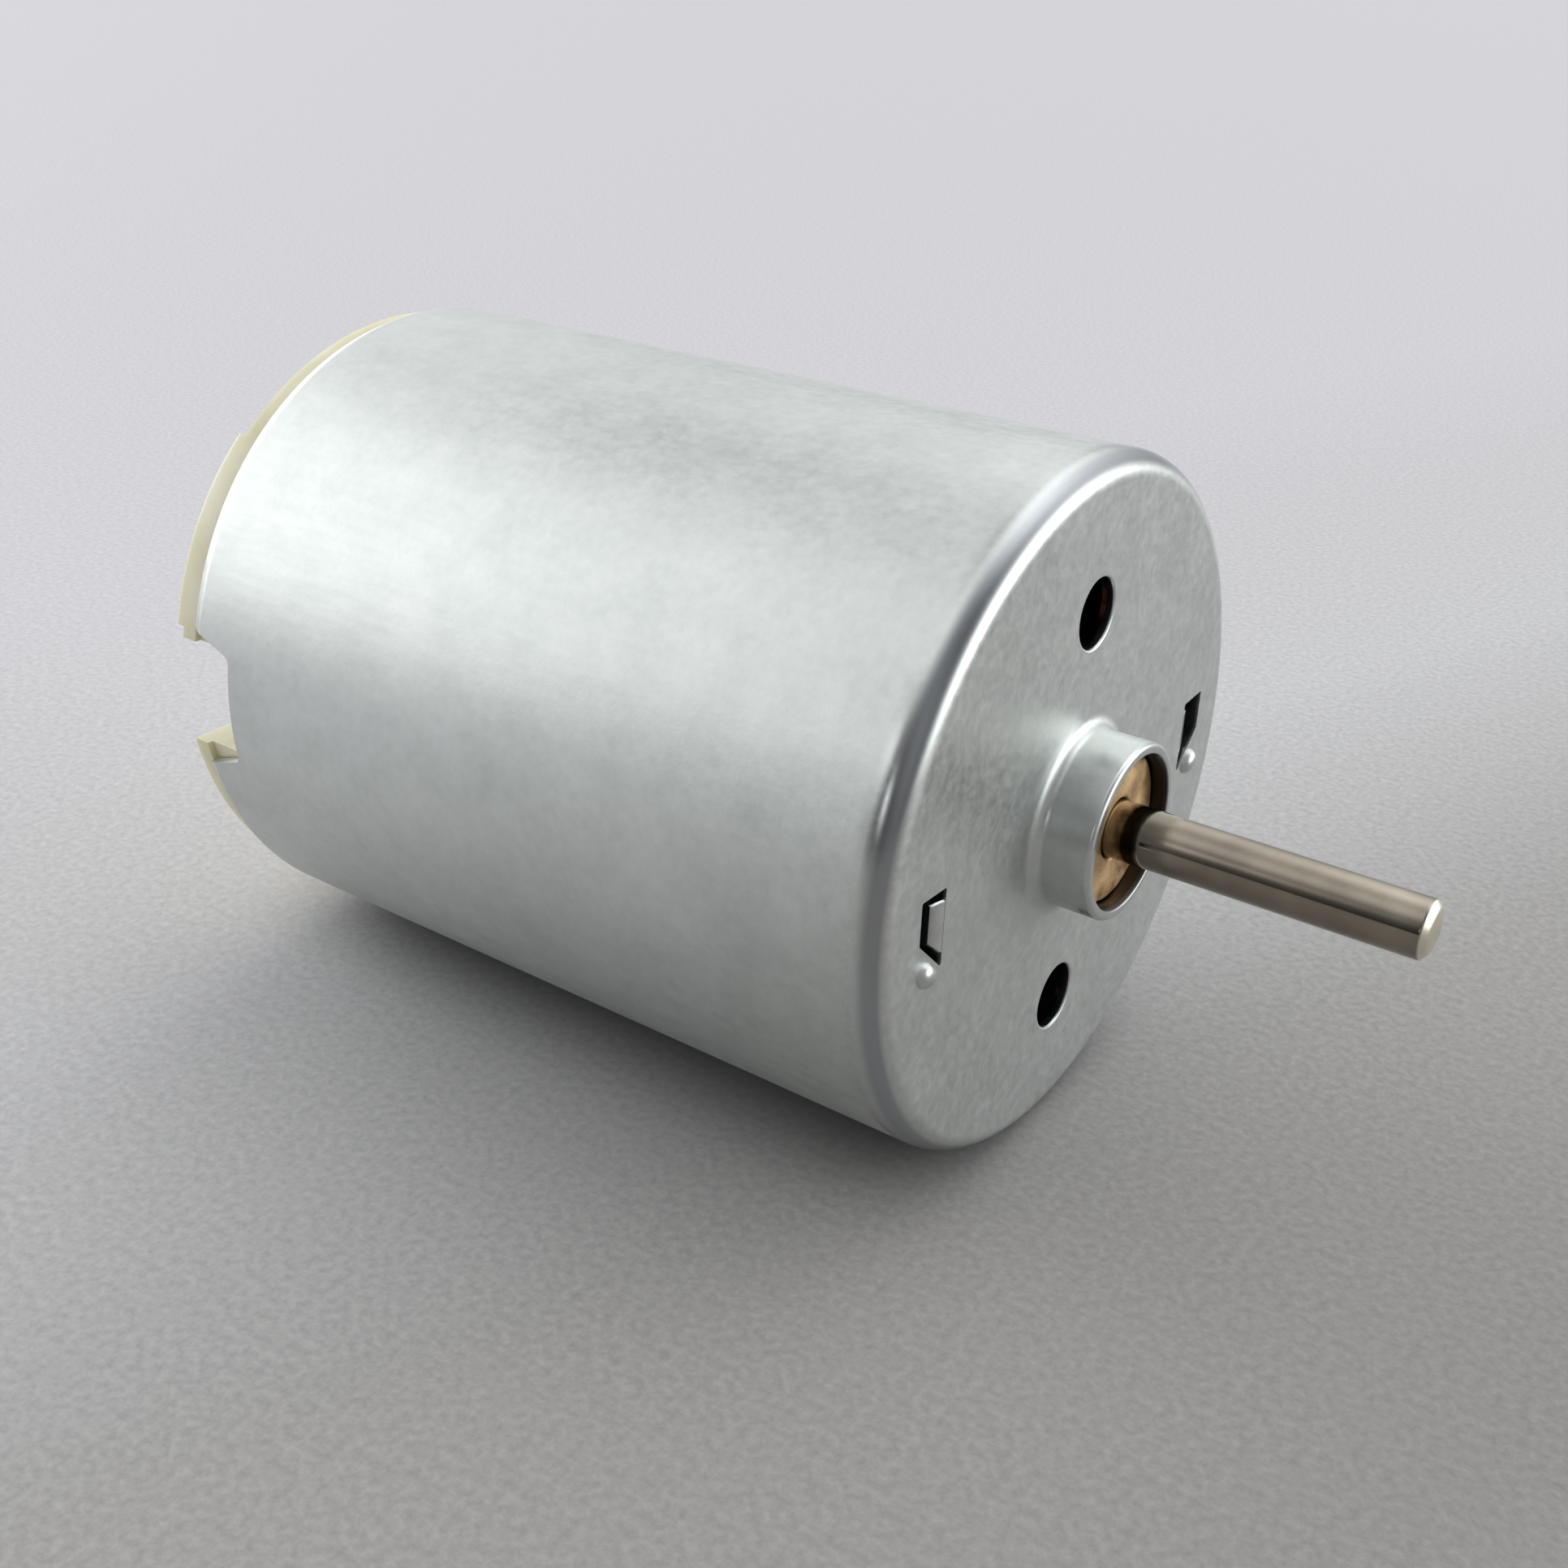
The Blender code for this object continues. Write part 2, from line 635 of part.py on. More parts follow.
def build_terminals(frame, surface):
    """A blade through the bell's wall, with a wider foot inside it that the brush arm touches."""
    half = TERMINAL_HALF_WIDTH
    corner = TERMINAL_CORNER
    outline = [
        (FOOT[1], -half),
        (FOOT[1], FOOT_Y),
        (FOOT[0], FOOT_Y),
        (FOOT[0], half),
        (TERMINAL_END + corner, half),
        (TERMINAL_END, half - corner),
        (TERMINAL_END, corner - half),
        (TERMINAL_END + corner, -half),
    ]
    mesh = bmesh.new()
    add_prism(mesh, outline, TERMINAL_Z[0], TERMINAL_Z[1], "Z")
    top = finish_object(mesh, "terminal_top", surface, frame)
    bottom = place_object("terminal_bottom", top.data, frame, turn=pi)
    holes = bmesh.new()
    hole = circle((TERMINAL_HOLE_X, 0), TERMINAL_HOLE_RADIUS, 20)
    add_prism(holes, hole, TERMINAL_Z[0] - PAST, TERMINAL_Z[1] + PAST, "Z")
    half_turn(holes, holes.verts[:])
    tool = finish_object(holes, "terminal_holes", None, frame)
    for blade in (top, bottom):
        boolean(blade, tool, "DIFFERENCE")


def build_brush_gear(frame, arm_surface, carbon, rubber):
    """A sprung leaf hinged at its bent root, with the brush inside it and a damper outside it."""
    half = ARM_THICKNESS / 2
    outside = ARM_Y - half
    inside = ARM_Y + half
    arm_outline = [
        (outside, ARM_END_Z),
        (inside, ARM_END_Z),
        (inside, ARM_PIVOT_Z - half),
        (ARM_TAB_Y, ARM_PIVOT_Z - half),
        (ARM_TAB_Y, ARM_PIVOT_Z + half),
        (outside, ARM_PIVOT_Z + half),
    ]
    brush = rectangle(inside + GAP, BRUSH_FACE_Y, -BRUSH_HALF_HEIGHT, BRUSH_HALF_HEIGHT)
    damper_outside = outside - GAP - DAMPER_THICKNESS
    damper = rectangle(damper_outside, outside - GAP, -DAMPER_HALF_HEIGHT, DAMPER_HALF_HEIGHT)
    pieces = [
        ("brush_arm", arm_outline, ARM_WIDTH, arm_surface),
        ("brush", brush, BRUSH_WIDTH, carbon),
        ("brush_damper", damper, BRUSH_WIDTH, rubber),
    ]
    pivot = (0, ARM_Y, ARM_PIVOT_Z)
    left = empty("brush_pivot_left", pivot, frame)
    right = empty("brush_pivot_right", (0, -ARM_Y, -ARM_PIVOT_Z), frame, turn=pi)
    for name, outline, (high, low), surface in pieces:
        mesh = bmesh.new()
        add_prism(mesh, outline, low, high, "X")
        bmesh.ops.translate(mesh, verts=mesh.verts, vec=-Vector(pivot) * MM)
        piece = finish_object(mesh, f"{name}_left", surface, left)
        place_object(f"{name}_right", piece.data, right)


def main():
    clear_scene()
    zinc = material("zinc_steel", (0.56, 0.58, 0.57), 0.9, 0.42)
    steel = material("ground_steel", (0.62, 0.60, 0.57), 1.0, 0.22)
    bronze = material("oiled_bronze", (0.42, 0.24, 0.12), 0.9, 0.45)
    nylon = material("cream_nylon", (0.78, 0.75, 0.58), 0.0, 0.5)
    ferrite = material("ferrite", (0.06, 0.06, 0.065), 0.0, 0.75)
    spring_steel = material("spring_steel", (0.45, 0.45, 0.46), 1.0, 0.3)
    silicon_steel = material("lamination_steel", (0.30, 0.30, 0.31), 0.9, 0.5)
    fibre = material("red_fibre", (0.45, 0.12, 0.08), 0.0, 0.7)
    copper_wire = material("enamelled_copper", (0.55, 0.20, 0.08), 0.7, 0.35)
    phenolic = material("phenolic", (0.10, 0.06, 0.04), 0.0, 0.5)
    copper = material("commutator_copper", (0.78, 0.40, 0.24), 1.0, 0.28)
    ceramic = material("varistor_ceramic", (0.12, 0.13, 0.16), 0.0, 0.6)
    washer_plastic = material("washer_plastic", (0.85, 0.85, 0.82), 0.0, 0.5)
    brass = material("tinned_brass", (0.72, 0.62, 0.38), 1.0, 0.3)
    phosphor_bronze = material("phosphor_bronze", (0.70, 0.45, 0.28), 1.0, 0.3)
    carbon = material("copper_graphite", (0.09, 0.07, 0.06), 0.3, 0.6)
    rubber = material("damping_rubber", (0.03, 0.03, 0.03), 0.0, 0.9)

    frame = empty("motor_frame", (FACE_X, 0, CAN_RADIUS))
    axle = empty("rotor_axis", (0, 0, 0), frame)
    build_can(frame, zinc)
    build_bell(frame, nylon)
    build_bush(frame, "front_bearing", FRONT_BUSH, bronze)
    build_bush(frame, "rear_bearing", REAR_BUSH, bronze)
    build_magnets(frame, ferrite)
    build_magnet_clip(frame, spring_steel)
    build_shaft(axle, steel, washer_plastic)
    build_core(axle, silicon_steel, fibre)
    build_coils(axle, copper_wire)
    build_commutator(axle, phenolic, copper, ceramic)
    build_terminals(frame, brass)
    build_brush_gear(frame, phosphor_bronze, carbon, rubber)


main()
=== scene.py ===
"""Looks for the small round can motor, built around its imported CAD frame."""
import json
from math import atan2, cos, pi, radians, sin, tan

import bmesh
import bpy
from mathutils import Matrix, Vector


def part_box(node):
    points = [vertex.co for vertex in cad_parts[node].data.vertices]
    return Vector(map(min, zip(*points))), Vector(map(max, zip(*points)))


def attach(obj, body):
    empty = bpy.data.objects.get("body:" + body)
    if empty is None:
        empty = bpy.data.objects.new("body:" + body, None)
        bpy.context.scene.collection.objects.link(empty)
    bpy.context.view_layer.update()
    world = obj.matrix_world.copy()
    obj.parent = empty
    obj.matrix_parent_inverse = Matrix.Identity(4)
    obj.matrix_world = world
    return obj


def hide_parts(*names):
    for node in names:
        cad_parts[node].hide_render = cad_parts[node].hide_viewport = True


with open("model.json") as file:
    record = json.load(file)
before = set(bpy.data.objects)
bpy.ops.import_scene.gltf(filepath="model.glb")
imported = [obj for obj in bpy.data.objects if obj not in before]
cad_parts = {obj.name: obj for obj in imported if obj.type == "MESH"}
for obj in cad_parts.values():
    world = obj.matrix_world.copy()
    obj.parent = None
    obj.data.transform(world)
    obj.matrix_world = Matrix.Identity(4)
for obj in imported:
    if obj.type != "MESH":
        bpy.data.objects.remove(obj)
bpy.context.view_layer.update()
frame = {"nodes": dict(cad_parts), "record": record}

MM = 0.001
SENSOR_MM = 36.0

# The front face and the shaft axis, in metres in the row frame
SHAFT_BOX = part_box("shaft")
FACE_X = next(m["pos_m"][0] for m in frame["record"]["mounts"] if m["name"] == "front_face")
AXIS_Z = (SHAFT_BOX[0].z + SHAFT_BOX[1].z) / 2

# Lengths in millimetres, along the shaft from the front face, as in the CAD part
CAN_RADIUS = 12.2
CAN_WALL = 0.5
CAN_REAR = -30.0
BOSS_RADIUS = 3.08
BOSS_HEIGHT = 2.1
BUSH_RADIUS = 2.6
LIP_RADIUS = 2.74
SHOULDER_LENGTH = 1.0
SHOULDER_DROP = 0.8
BUSH_BORE = 1.05
FRONT_BUSH = (1.55, -1.8)
REAR_BUSH = (-28.3, -30.5)
HOLE_RADIUS = 1.2
HOLE_PITCH_RADIUS = 7.2
SLOT = [(8.5, -1.75), (9.9, -0.38), (9.9, 1.12), (8.5, 1.05)]
TONGUE_LENGTH = 0.62
TONGUE_ANGLE = radians(13)
TONGUE_LOW = -1.3
TONGUE_HIGH = 0.62
NOTCH_FRONT = -27.9
NOTCH_FRONT_HALF = 2.05
NOTCH_REAR_HALF = 2.75
NOTCH_CUT_Y = (10.0, 14.0)
SHAFT_RADIUS = 1.0
SHAFT_TIP = 12.3
SHAFT_REAR = -30.9
BELL_FRONT = -24.0
BELL_WALL = -28.7
BELL_FLOOR = -30.3
SPIGOT_RADIUS = 11.63
SPIGOT_INNER = 10.4
FLANGE_FRONT = -30.1
FLANGE_RADIUS = 11.85
RIM_LOW = -30.8
RIM_HIGH = -31.25
RIM_INNER = 9.6
RIM_LOW_START = radians(-12)
RIM_LOW_END = radians(132)
VENT_INNER_Y = 8.5
RIB_ANGLES = (radians(35), radians(145), radians(215), radians(325))
RIB_HALF = 0.35
RIB_HEIGHT = 0.42
POST_Y = (-3.75, -1.8)
POST_Z = (5.2, 6.9)
POST_FRONT = -24.6
FINGER_FRONT = -20.0
FINGER_HALF_ANGLE = radians(18)
EJECTOR_Y = 3.2
EJECTOR_Z = 5.6
EJECTOR_RADII = (0.7, 0.78)
REAR_BOSS_RADIUS = 4.0
REAR_BOSS_END = -32.1
REAR_SEAT = (-30.6, -28.2)
SHAFT_WELL_RADIUS = 1.4
TERMINAL_HALF_WIDTH = 1.15
TERMINAL_Z = (7.9, 8.3)
TERMINAL_MIDDLE_Z = 8.1
WELL_CLEARANCE = 0.1
TERMINAL_END = -34.2
TERMINAL_CORNER = 0.45
TERMINAL_HOLE_X = -32.9
TERMINAL_HOLE_RADIUS = 0.6
TERMINAL_FOOT = (-24.8, -27.4)
TERMINAL_FOOT_Y = -3.6


# ---------------------------------------------------------------- camera

CAMERA_PLACE = (23.09, -50.991, 28.635)
CAMERA_RIGHT = (0.81586, 0.57746, 0.03027)
CAMERA_UP = (-0.28277, 0.35276, 0.89197)
CAMERA_LENS = 42.59


def motor_point(x, y, z):
    """A point given from the front face and the shaft axis, in row frame metres."""
    return Vector((FACE_X + x * MM, y * MM, AXIS_Z + z * MM))


def add_camera():
    right = Vector(CAMERA_RIGHT).normalized()
    back = right.cross(Vector(CAMERA_UP)).normalized()
    up = back.cross(right)
    data = bpy.data.cameras.new("camera")
    data.lens = CAMERA_LENS
    data.sensor_width = SENSOR_MM
    data.clip_start = 0.001
    data.clip_end = 20
    camera = bpy.data.objects.new("camera", data)
    bpy.context.scene.collection.objects.link(camera)
    place = Matrix((right, up, back)).transposed().to_4x4()
    place.translation = motor_point(*CAMERA_PLACE)
    camera.matrix_world = place
    bpy.context.scene.camera = camera


# ---------------------------------------------------------------- materials

def new_material(name, **sockets):
    """A material and its Principled shader, with uniform values on the shader's own sockets."""
    surface = bpy.data.materials.new(name)
    surface.use_nodes = True
    shader = surface.node_tree.nodes["Principled BSDF"]
    for socket, value in sockets.items():
        shader.inputs[socket.replace("_", " ")].default_value = value
    return surface, shader


def add(surface, kind, inputs=(), **settings):
    """Adds a node. An input that is a socket is linked, and any other value is set."""
    tree = surface.node_tree
    node = tree.nodes.new("ShaderNode" + kind)
    for setting, value in settings.items():
        setattr(node, setting, value)
    for socket, value in dict(inputs).items():
        if isinstance(value, bpy.types.NodeSocket):
            tree.links.new(value, node.inputs[socket])
        else:
            node.inputs[socket].default_value = value
    return node


def object_coordinates(surface):
    return add(surface, "TexCoord").outputs["Object"]


def stretched(surface, coordinates, scale, turn=(0, 0, 0)):
    return add(surface, "Mapping", {"Vector": coordinates, "Scale": scale, "Rotation": turn}).outputs[0]


def noise(surface, coordinates, cell_mm, detail=2.0, roughness=0.5, distortion=0.0):
    """Noise whose cells are about this many millimetres across."""
    return add(surface, "TexNoise", {
        "Vector": coordinates, "Scale": 1 / (cell_mm * MM), "Detail": detail,
        "Roughness": roughness, "Distortion": distortion,
    }).outputs["Fac"]


def ramp(surface, factor, *stops):
    """A colour ramp. Each stop is (place, (r, g, b))."""
    node = add(surface, "ValToRGB", {"Fac": factor})
    elements = node.color_ramp.elements
    elements[0].position, elements[0].color = stops[0][0], (*stops[0][1], 1)
    elements[1].position, elements[1].color = stops[-1][0], (*stops[-1][1], 1)
    for place, colour in stops[1:-1]:
        elements.new(place).color = (*colour, 1)
    return node.outputs["Color"]


def spread(surface, value, from_low, from_high, low, high, **settings):
    """Maps one range of values on another."""
    return add(surface, "MapRange", {
        "Value": value, "From Min": from_low, "From Max": from_high, "To Min": low, "To Max": high,
    }, **settings).outputs[0]


def eased(surface, value, from_low, from_high, low, high):
    """A mask without a crease at either end of its range."""
    return spread(surface, value, from_low, from_high, low, high, interpolation_type="SMOOTHSTEP")


def maths(surface, operation, first, second=0.0):
    return add(surface, "Math", {0: first, 1: second}, operation=operation).outputs[0]


def mixed(surface, factor, first, second, blend="MIX"):
    node = add(surface, "Mix", data_type="RGBA", blend_type=blend)
    for index, value in ((0, factor), (6, first), (7, second)):
        if isinstance(value, bpy.types.NodeSocket):
            surface.node_tree.links.new(value, node.inputs[index])
        else:
            node.inputs[index].default_value = value if index == 0 else (*value, 1)
    return node.outputs[2]


def mixed_value(surface, factor, first, second):
    return add(surface, "Mix", {0: factor, 2: first, 3: second}, data_type="FLOAT").outputs[0]


def bumps(surface, shader, *layers):
    """Stacks bump layers, each (height socket, depth in millimetres)."""
    normal = None
    for height, depth in layers:
        inputs = {"Height": height, "Strength": 1.0, "Distance": depth * MM}
        if normal:
            inputs["Normal"] = normal
        normal = add(surface, "Bump", inputs).outputs[0]
    surface.node_tree.links.new(normal, shader.inputs["Normal"])


def connect(surface, shader, **sockets):
    for socket, value in sockets.items():
        surface.node_tree.links.new(value, shader.inputs[socket.replace("_", " ")])


def zinc_material():
    """Matt zinc plating: a fine even grain, smoother where the shoulder and boss were drawn; a painted dark
    reflection rings the shoulder and painted shade darkens the boss's bore.
    """
    surface, shader = new_material("zinc_plated_steel", Metallic=1.0)
    place = object_coordinates(surface)
    axes = add(surface, "SeparateXYZ", {0: place}).outputs
    grain = noise(surface, place, 0.11, 3, 0.6)
    speckle = noise(surface, place, 0.4, 4, 0.7)
    blotch = noise(surface, place, 1.7, 3, 0.55)
    cloud = noise(surface, place, 7.0, 2)
    scratches = noise(surface, stretched(surface, place, (0.12, 1, 1)), 0.3, 3, 0.7)
    tone = maths(surface, "MULTIPLY", speckle, 0.45)
    tone = maths(surface, "ADD", tone, maths(surface, "MULTIPLY", blotch, 0.3))
    tone = maths(surface, "ADD", tone, maths(surface, "MULTIPLY", cloud, 0.25))
    colour = ramp(surface, tone, (0.36, (0.555, 0.583, 0.567)), (0.5, (0.61, 0.638, 0.62)),
                  (0.64, (0.665, 0.69, 0.674)))
    shoulder = maths(surface, "MULTIPLY",
                     eased(surface, axes[0], FACE_X - 1.5 * MM, FACE_X - 0.9 * MM, 0, 1),
                     eased(surface, axes[0], FACE_X - 0.15 * MM, FACE_X, 1, 0))
    # painted reflection: a bluish-dark ring on the shoulder's inner part, standing in for the shaded floor
    # that the shoulder mirrors
    painted_dark_reflection = maths(surface, "MULTIPLY",
                    eased(surface, axes[0], FACE_X - 0.9 * MM, FACE_X - 0.5 * MM, 0, 1),
                    eased(surface, axes[0], FACE_X - 0.25 * MM, FACE_X - 0.08 * MM, 1, 0))
    colour = mixed(surface, painted_dark_reflection, colour, (0.37, 0.385, 0.40))
    boss = eased(surface, axes[0], FACE_X + 0.05 * MM, FACE_X + 0.4 * MM, 0, 1)
    polished = maths(surface, "ADD", shoulder, boss)
    above = maths(surface, "SUBTRACT", axes[2], AXIS_Z)
    across = add(surface, "CombineXYZ", {1: axes[1], 2: above}).outputs[0]
    radius = add(surface, "VectorMath", {0: across}, operation="LENGTH").outputs["Value"]
    # painted shade: the boss's inner wall and bore mouth are coloured near black, where shade falls in the
    # recess
    inside = maths(surface, "MULTIPLY", boss,
                   spread(surface, radius, (BUSH_RADIUS + 0.1) * MM, (BUSH_RADIUS + 0.16) * MM, 1, 0))
    colour = mixed(surface, inside, colour, (0.035, 0.03, 0.026))
    rough = spread(surface, maths(surface, "ADD", speckle, scratches), 0.7, 1.3, 0.35, 0.47)
    rough = mixed_value(surface, shoulder, rough, spread(surface, speckle, 0.3, 0.7, 0.2, 0.26))
    rough = mixed_value(surface, boss, rough, spread(surface, speckle, 0.3, 0.7, 0.28, 0.34))
    matt = spread(surface, polished, 0, 1, 1, 0.2)
    connect(surface, shader, Base_Color=colour, Roughness=rough)
    bumps(surface, shader, (maths(surface, "MULTIPLY", blotch, matt), 0.002),
          (maths(surface, "MULTIPLY", scratches, matt), 0.002),
          (maths(surface, "MULTIPLY", speckle, matt), 0.0035),
          (maths(surface, "MULTIPLY", grain, matt), 0.0025))
    return surface


# Where the shaft's bare cut end starts, which is painted light cream as a highlight, in row frame metres
TIP_HIGHLIGHT_START = FACE_X + (SHAFT_TIP - 0.4) * MM


def shaft_material():
    """Ground steel with a brownish oil tint and fine grinding lines around it, and a bare cut end painted
    light cream as a highlight.
    """
    surface, shader = new_material("ground_shaft_steel", Metallic=1.0)
    place = object_coordinates(surface)
    lines = noise(surface, stretched(surface, place, (1, 0.06, 0.06)), 0.05, 2)
    film = noise(surface, place, 1.5, 3)
    colour = ramp(surface, film, (0.3, (0.25, 0.215, 0.175)), (0.7, (0.34, 0.3, 0.245)))
    along = add(surface, "SeparateXYZ", {0: place}).outputs[0]
    # painted highlight: the bare cut end is lighter steel, and its light cream colour stands in for the
    # highlight on the tip
    sawn_tip_highlight = eased(surface, along, TIP_HIGHLIGHT_START, TIP_HIGHLIGHT_START + 0.1 * MM, 0, 1)
    colour = mixed(surface, sawn_tip_highlight, colour, (0.8, 0.77, 0.62))
    rough = spread(surface, maths(surface, "ADD", lines, film), 0.7, 1.3, 0.07, 0.12)
    rough = mixed_value(surface, sawn_tip_highlight, rough, 0.3)
    connect(surface, shader, Base_Color=colour, Roughness=rough)
    bumps(surface, shader, (lines, 0.0003))
    return surface


def bronze_material():
    """Sintered bronze: a warm open grain, darkened by the oil it holds."""
    surface, shader = new_material("sintered_bronze", Metallic=0.75)
    place = object_coordinates(surface)
    grain = noise(surface, place, 0.09, 3, 0.7)
    oil = noise(surface, place, 0.9, 3)
    colour = ramp(surface, maths(surface, "ADD", maths(surface, "MULTIPLY", grain, 0.45),
                                 maths(surface, "MULTIPLY", oil, 0.55)),
                  (0.36, (0.44, 0.25, 0.11)), (0.52, (0.72, 0.49, 0.25)), (0.66, (0.86, 0.62, 0.35)))
    rough = spread(surface, oil, 0.35, 0.65, 0.30, 0.55)
    connect(surface, shader, Base_Color=colour, Roughness=rough)
    bumps(surface, shader, (grain, 0.004))
    return surface


def nylon_material():
    """Moulded cream nylon, slightly see-through at the edges, with a faint flow pattern."""
    surface, shader = new_material("moulded_nylon", Subsurface_Weight=0.25, Subsurface_Scale=0.0008,
                                   Specular_IOR_Level=0.45, IOR=1.53)
    shader.inputs["Subsurface Radius"].default_value = (1.0, 0.85, 0.5)
    place = object_coordinates(surface)
    flow = noise(surface, place, 4.0, 3, 0.5, 0.8)
    texture = noise(surface, place, 0.16, 3)
    colour = ramp(surface, flow, (0.32, (0.69, 0.65, 0.44)), (0.5, (0.765, 0.73, 0.52)),
                  (0.68, (0.82, 0.79, 0.6)))
    rough = spread(surface, texture, 0.3, 0.7, 0.38, 0.52)
    connect(surface, shader, Base_Color=colour, Roughness=rough)
    bumps(surface, shader, (flow, 0.004), (texture, 0.0035))
    return surface


def plated_material(name, dark, light, roughness, cell=0.5, across=(1, 1, 1)):
    """Rolled or stamped sheet metal with a faint grain along one direction."""
    surface, shader = new_material(name, Metallic=1.0)
    place = object_coordinates(surface)
    grain = noise(surface, stretched(surface, place, across), cell, 3, 0.6)
    stain = noise(surface, place, 1.8, 3)
    colour = ramp(surface, stain, (0.3, dark), (0.7, light))
    rough = spread(surface, grain, 0.3, 0.7, roughness - 0.06, roughness + 0.1)
    connect(surface, shader, Base_Color=colour, Roughness=rough)
    bumps(surface, shader, (grain, 0.002), (stain, 0.002))
    return surface


def powder_material(name, dark, light, roughness, cell, depth):
    """A pressed, sintered or moulded body with an even grain."""
    surface, shader = new_material(name)
    place = object_coordinates(surface)
    grain = noise(surface, place, cell, 4, 0.65)
    patch = noise(surface, place, cell * 9, 3)
    colour = ramp(surface, maths(surface, "ADD", maths(surface, "MULTIPLY", grain, 0.5),
                                 maths(surface, "MULTIPLY", patch, 0.5)), (0.35, dark), (0.65, light))
    rough = spread(surface, patch, 0.3, 0.7, roughness - 0.08, roughness + 0.08)
    connect(surface, shader, Base_Color=colour, Roughness=rough)
    bumps(surface, shader, (grain, depth))
    return surface


def wave_scale(pitch_mm):
    """The wave texture's scale for bands this many millimetres apart."""
    return 2 * pi / (pitch_mm * MM) / 20


def winding_material():
    """Enamelled copper wire, laid side by side round each pole."""
    surface, shader = new_material("enamelled_wire", Metallic=1.0)
    place = object_coordinates(surface)
    centred = add(surface, "VectorMath", {0: place, 1: (0, 0, AXIS_Z)}, operation="SUBTRACT").outputs[0]
    turns = add(surface, "TexWave", {"Vector": centred, "Scale": wave_scale(0.3), "Distortion": 0.25,
                                     "Detail": 1.0, "Detail Scale": 2.0},
                wave_type="RINGS", rings_direction="X").outputs["Fac"]
    tint = noise(surface, place, 1.2, 3)
    colour = ramp(surface, tint, (0.3, (0.45, 0.15, 0.05)), (0.7, (0.66, 0.27, 0.10)))
    colour = mixed(surface, eased(surface, turns, 0.0, 0.4, 0, 1), (0.13, 0.035, 0.012), colour)
    rough = spread(surface, tint, 0.3, 0.7, 0.22, 0.34)
    connect(surface, shader, Base_Color=colour, Roughness=rough)
    bumps(surface, shader, (turns, 0.05))
    return surface


def lamination_material():
    """A stack of silicon steel sheets, half a millimetre each, seen edge on."""
    surface, shader = new_material("lamination_stack", Metallic=0.9)
    place = object_coordinates(surface)
    sheets = add(surface, "TexWave", {"Vector": place, "Scale": wave_scale(0.5), "Distortion": 0.4,
                                      "Detail": 1.0, "Detail Scale": 3.0}, bands_direction="X").outputs["Fac"]
    grain = noise(surface, place, 0.3, 3)
    colour = mixed(surface, spread(surface, sheets, 0.0, 0.35, 0, 1), (0.10, 0.10, 0.11), (0.36, 0.36, 0.38))
    rough = spread(surface, grain, 0.3, 0.7, 0.42, 0.6)
    connect(surface, shader, Base_Color=colour, Roughness=rough)
    bumps(surface, shader, (sheets, 0.02), (grain, 0.004))
    return surface


# ---------------------------------------------------------------- shapes

def reach(neighbour, edge):
    """How much of an edge a rounded corner may use: half of it if the other end is rounded too."""
    return edge.length * (0.499 if len(neighbour) > 2 and neighbour[2] else 0.999)


def rounded(corners, steps=4):
    """Rounds the corners of a closed outline. Each corner is (a, b) or (a, b, radius)."""
    points = []
    count = len(corners)
    for index, corner in enumerate(corners):
        here = Vector(corner[:2])
        radius = corner[2] if len(corner) > 2 else 0
        if radius == 0:
            points.append(tuple(here))
            continue
        before = Vector(corners[index - 1][:2]) - here
        after = Vector(corners[(index + 1) % count][:2]) - here
        half = before.angle(after) / 2
        cut = min(radius / tan(half), reach(corners[index - 1], before),
                  reach(corners[(index + 1) % count], after))
        radius = cut * tan(half)
        centre = here + (before.normalized() + after.normalized()).normalized() * (radius / sin(half))
        first = here + before.normalized() * cut - centre
        last = here + after.normalized() * cut - centre
        turn = first.angle_signed(last)
        for step in range(steps + 1):
            angle = -turn * step / steps
            swung = Vector((first.x * cos(angle) - first.y * sin(angle),
                            first.x * sin(angle) + first.y * cos(angle)))
            points.append(tuple(centre + swung))
    return points


def polar(radius, angle):
    return radius * cos(angle), radius * sin(angle)


def lathe(mesh, outline, segments, start=0.0, sweep=2 * pi):
    """Turns a closed (x, radius) outline about the shaft axis."""
    full = abs(sweep - 2 * pi) < 1e-9
    on_axis = {}
    rings = []
    for step in range(segments if full else segments + 1):
        angle = start + sweep * step / segments
        ring = []
        for index, (x, radius) in enumerate(outline):
            if radius < 1e-6 and index in on_axis:
                ring.append(on_axis[index])
                continue
            y, z = polar(radius, angle)
            vertex = mesh.verts.new(motor_point(x, y, z))
            if radius < 1e-6:
                on_axis[index] = vertex
            ring.append(vertex)
        rings.append(ring)
    pairs = list(zip(rings, rings[1:]))
    if full:
        pairs.append((rings[-1], rings[0]))
    for ring, following in pairs:
        for index in range(len(outline)):
            after = (index + 1) % len(outline)
            corners = list(dict.fromkeys([ring[index], ring[after], following[after], following[index]]))
            if len(corners) > 2:
                mesh.faces.new(corners)
    if not full:
        mesh.faces.new(rings[0])
        mesh.faces.new(rings[-1])


def loft(mesh, loops):
    """Skins (x, y, z) loops of equal length and caps both ends."""
    rows = [[mesh.verts.new(motor_point(*point)) for point in loop] for loop in loops]
    for row, following in zip(rows, rows[1:]):
        for index in range(len(row)):
            after = (index + 1) % len(row)
            mesh.faces.new([row[index], row[after], following[after], following[index]])
    mesh.faces.new(rows[0])
    mesh.faces.new(rows[-1])


def prism(mesh, outline, levels, axis):
    """Stacks an outline along one axis. Each level is (place, outline) or just a place."""
    loops = []
    for level in levels:
        place, shape = level if isinstance(level, tuple) else (level, outline)
        loop = []
        for point in shape:
            parts = list(point)
            parts.insert("XYZ".index(axis), place)
            loop.append(parts)
        loops.append(loop)
    loft(mesh, loops)


